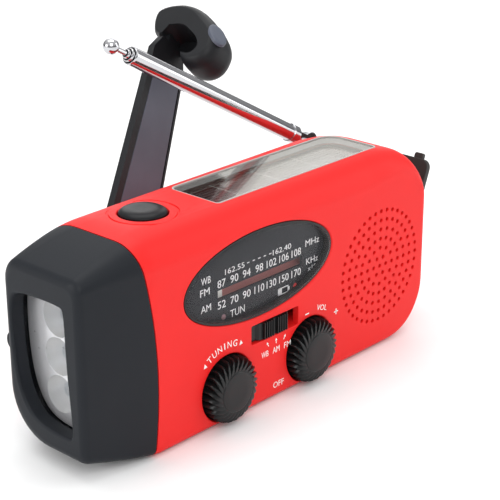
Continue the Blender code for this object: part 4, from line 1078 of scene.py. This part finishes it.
class RadioLook(bpy.types.PropertyGroup):
    """The colours and sizes a user would change."""

    shell_colour: bpy.props.FloatVectorProperty(
        name="Shell",
        description="Colour of the painted case",
        subtype="COLOR",
        size=4,
        min=0,
        max=1,
        default=linear("ea1c1a"),
    )
    trim_colour: bpy.props.FloatVectorProperty(
        name="Torch Housing",
        description="Colour of the torch housing",
        subtype="COLOR",
        size=4,
        min=0,
        max=1,
        default=linear("191c21"),
    )
    panel_colour: bpy.props.FloatVectorProperty(
        name="Crank Panel",
        description="Colour of the panel in the crank arm and of the thumb inlay",
        subtype="COLOR",
        size=4,
        min=0,
        max=1,
        default=linear("565b68"),
    )
    print_colour: bpy.props.FloatVectorProperty(
        name="Print",
        description="Colour of the printed names and numbers",
        subtype="COLOR",
        size=4,
        min=0,
        max=1,
        default=linear("f4f3f0"),
    )
    knob_ribs: bpy.props.IntProperty(
        name="Knob Ribs",
        description="How many ribs go round each knob",
        default=28,
        min=12,
        max=60,
    )
    rib_depth: bpy.props.FloatProperty(
        name="Rib Depth",
        description="Depth of the grooves between the ribs, as a share of the usual depth",
        subtype="FACTOR",
        default=1.0,
        min=0.0,
        max=1.0,
    )
    hole_radius: bpy.props.FloatProperty(
        name="Grille Hole Radius",
        description="Radius of each hole in front of the speaker",
        unit="LENGTH",
        default=0.58 * MM,
        min=0.3 * MM,
        max=0.9 * MM,
        precision=5,
    )


class RADIO_OT_insides(bpy.types.Operator):
    """Give the carried-over nodes their finishes"""

    bl_idname = "radio.insides"
    bl_label = "Inner Parts"

    def execute(self, context):
        build_insides()
        return {"FINISHED"}


class RADIO_OT_case(bpy.types.Operator):
    """Build the two painted shells"""

    bl_idname = "radio.case"
    bl_label = "Case"

    def execute(self, context):
        build_case()
        return {"FINISHED"}


class RADIO_OT_torch(bpy.types.Operator):
    """Build the torch housing, window, reflector and lamps"""

    bl_idname = "radio.torch"
    bl_label = "Torch"

    def execute(self, context):
        build_torch()
        return {"FINISHED"}


class RADIO_OT_button(bpy.types.Operator):
    """Build the torch button"""

    bl_idname = "radio.button"
    bl_label = "Button"

    def execute(self, context):
        build_button()
        return {"FINISHED"}


class RADIO_OT_dial(bpy.types.Operator):
    """Build the dial's window, rim, plate, lamps and print"""

    bl_idname = "radio.dial"
    bl_label = "Dial"

    def execute(self, context):
        build_dial()
        return {"FINISHED"}


class RADIO_OT_body_print(bpy.types.Operator):
    """Build the white print on the front"""

    bl_idname = "radio.body_print"
    bl_label = "Front Print"

    def execute(self, context):
        build_body_print()
        return {"FINISHED"}


class RADIO_OT_knobs(bpy.types.Operator):
    """Build the two ribbed knobs"""

    bl_idname = "radio.knobs"
    bl_label = "Knobs"

    def execute(self, context):
        build_knobs()
        return {"FINISHED"}


class RADIO_OT_slider(bpy.types.Operator):
    """Build the ribbed band slider"""

    bl_idname = "radio.slider"
    bl_label = "Band Slider"

    def execute(self, context):
        build_slider()
        return {"FINISHED"}


class RADIO_OT_solar(bpy.types.Operator):
    """Build the solar window, its lining and the film"""

    bl_idname = "radio.solar"
    bl_label = "Solar Panel"

    def execute(self, context):
        build_solar()
        return {"FINISHED"}


class RADIO_OT_ports(bpy.types.Operator):
    """Build the rubber flap over the ports"""

    bl_idname = "radio.ports"
    bl_label = "Port Cover"

    def execute(self, context):
        build_ports()
        return {"FINISHED"}


class RADIO_OT_crank(bpy.types.Operator):
    """Build the hub, the arm and its panel"""

    bl_idname = "radio.crank"
    bl_label = "Crank"

    def execute(self, context):
        build_crank()
        return {"FINISHED"}


class RADIO_OT_grip(bpy.types.Operator):
    """Build the folding grip and its thumb inlay"""

    bl_idname = "radio.grip"
    bl_label = "Grip"

    def execute(self, context):
        build_grip()
        return {"FINISHED"}


class RADIO_OT_antenna(bpy.types.Operator):
    """Build the telescopic antenna"""

    bl_idname = "radio.antenna"
    bl_label = "Antenna"

    def execute(self, context):
        build_antenna()
        return {"FINISHED"}


class RADIO_OT_stage(bpy.types.Operator):
    """Add the floor, the light and the camera"""

    bl_idname = "radio.stage"
    bl_label = "Stage"

    def execute(self, context):
        build_stage()
        return {"FINISHED"}


PIECES = (
    RADIO_OT_insides,
    RADIO_OT_case,
    RADIO_OT_torch,
    RADIO_OT_button,
    RADIO_OT_dial,
    RADIO_OT_body_print,
    RADIO_OT_knobs,
    RADIO_OT_slider,
    RADIO_OT_solar,
    RADIO_OT_ports,
    RADIO_OT_crank,
    RADIO_OT_grip,
    RADIO_OT_antenna,
    RADIO_OT_stage,
)


class RADIO_PT_panel(bpy.types.Panel):
    """Lists the look's settings and the pieces to build"""

    bl_label = "Hand-Crank Radio"
    bl_idname = "RADIO_PT_panel"
    bl_space_type = "VIEW_3D"
    bl_region_type = "UI"
    bl_category = "Radio"

    def draw(self, context):
        for key in RadioLook.__annotations__:
            self.layout.prop(context.scene.radio_look, key)
        for piece in PIECES:
            self.layout.operator(piece.bl_idname)


CLASSES = (RadioLook, *PIECES, RADIO_PT_panel)


def register():
    for cls in CLASSES:
        bpy.utils.register_class(cls)
    bpy.types.Scene.radio_look = bpy.props.PointerProperty(type=RadioLook)


def unregister():
    del bpy.types.Scene.radio_look
    for cls in reversed(CLASSES):
        bpy.utils.unregister_class(cls)


def main():
    register()
    for piece in PIECES:
        getattr(bpy.ops.radio, piece.bl_idname.split(".")[1])()


if __name__ == "__main__":
    main()
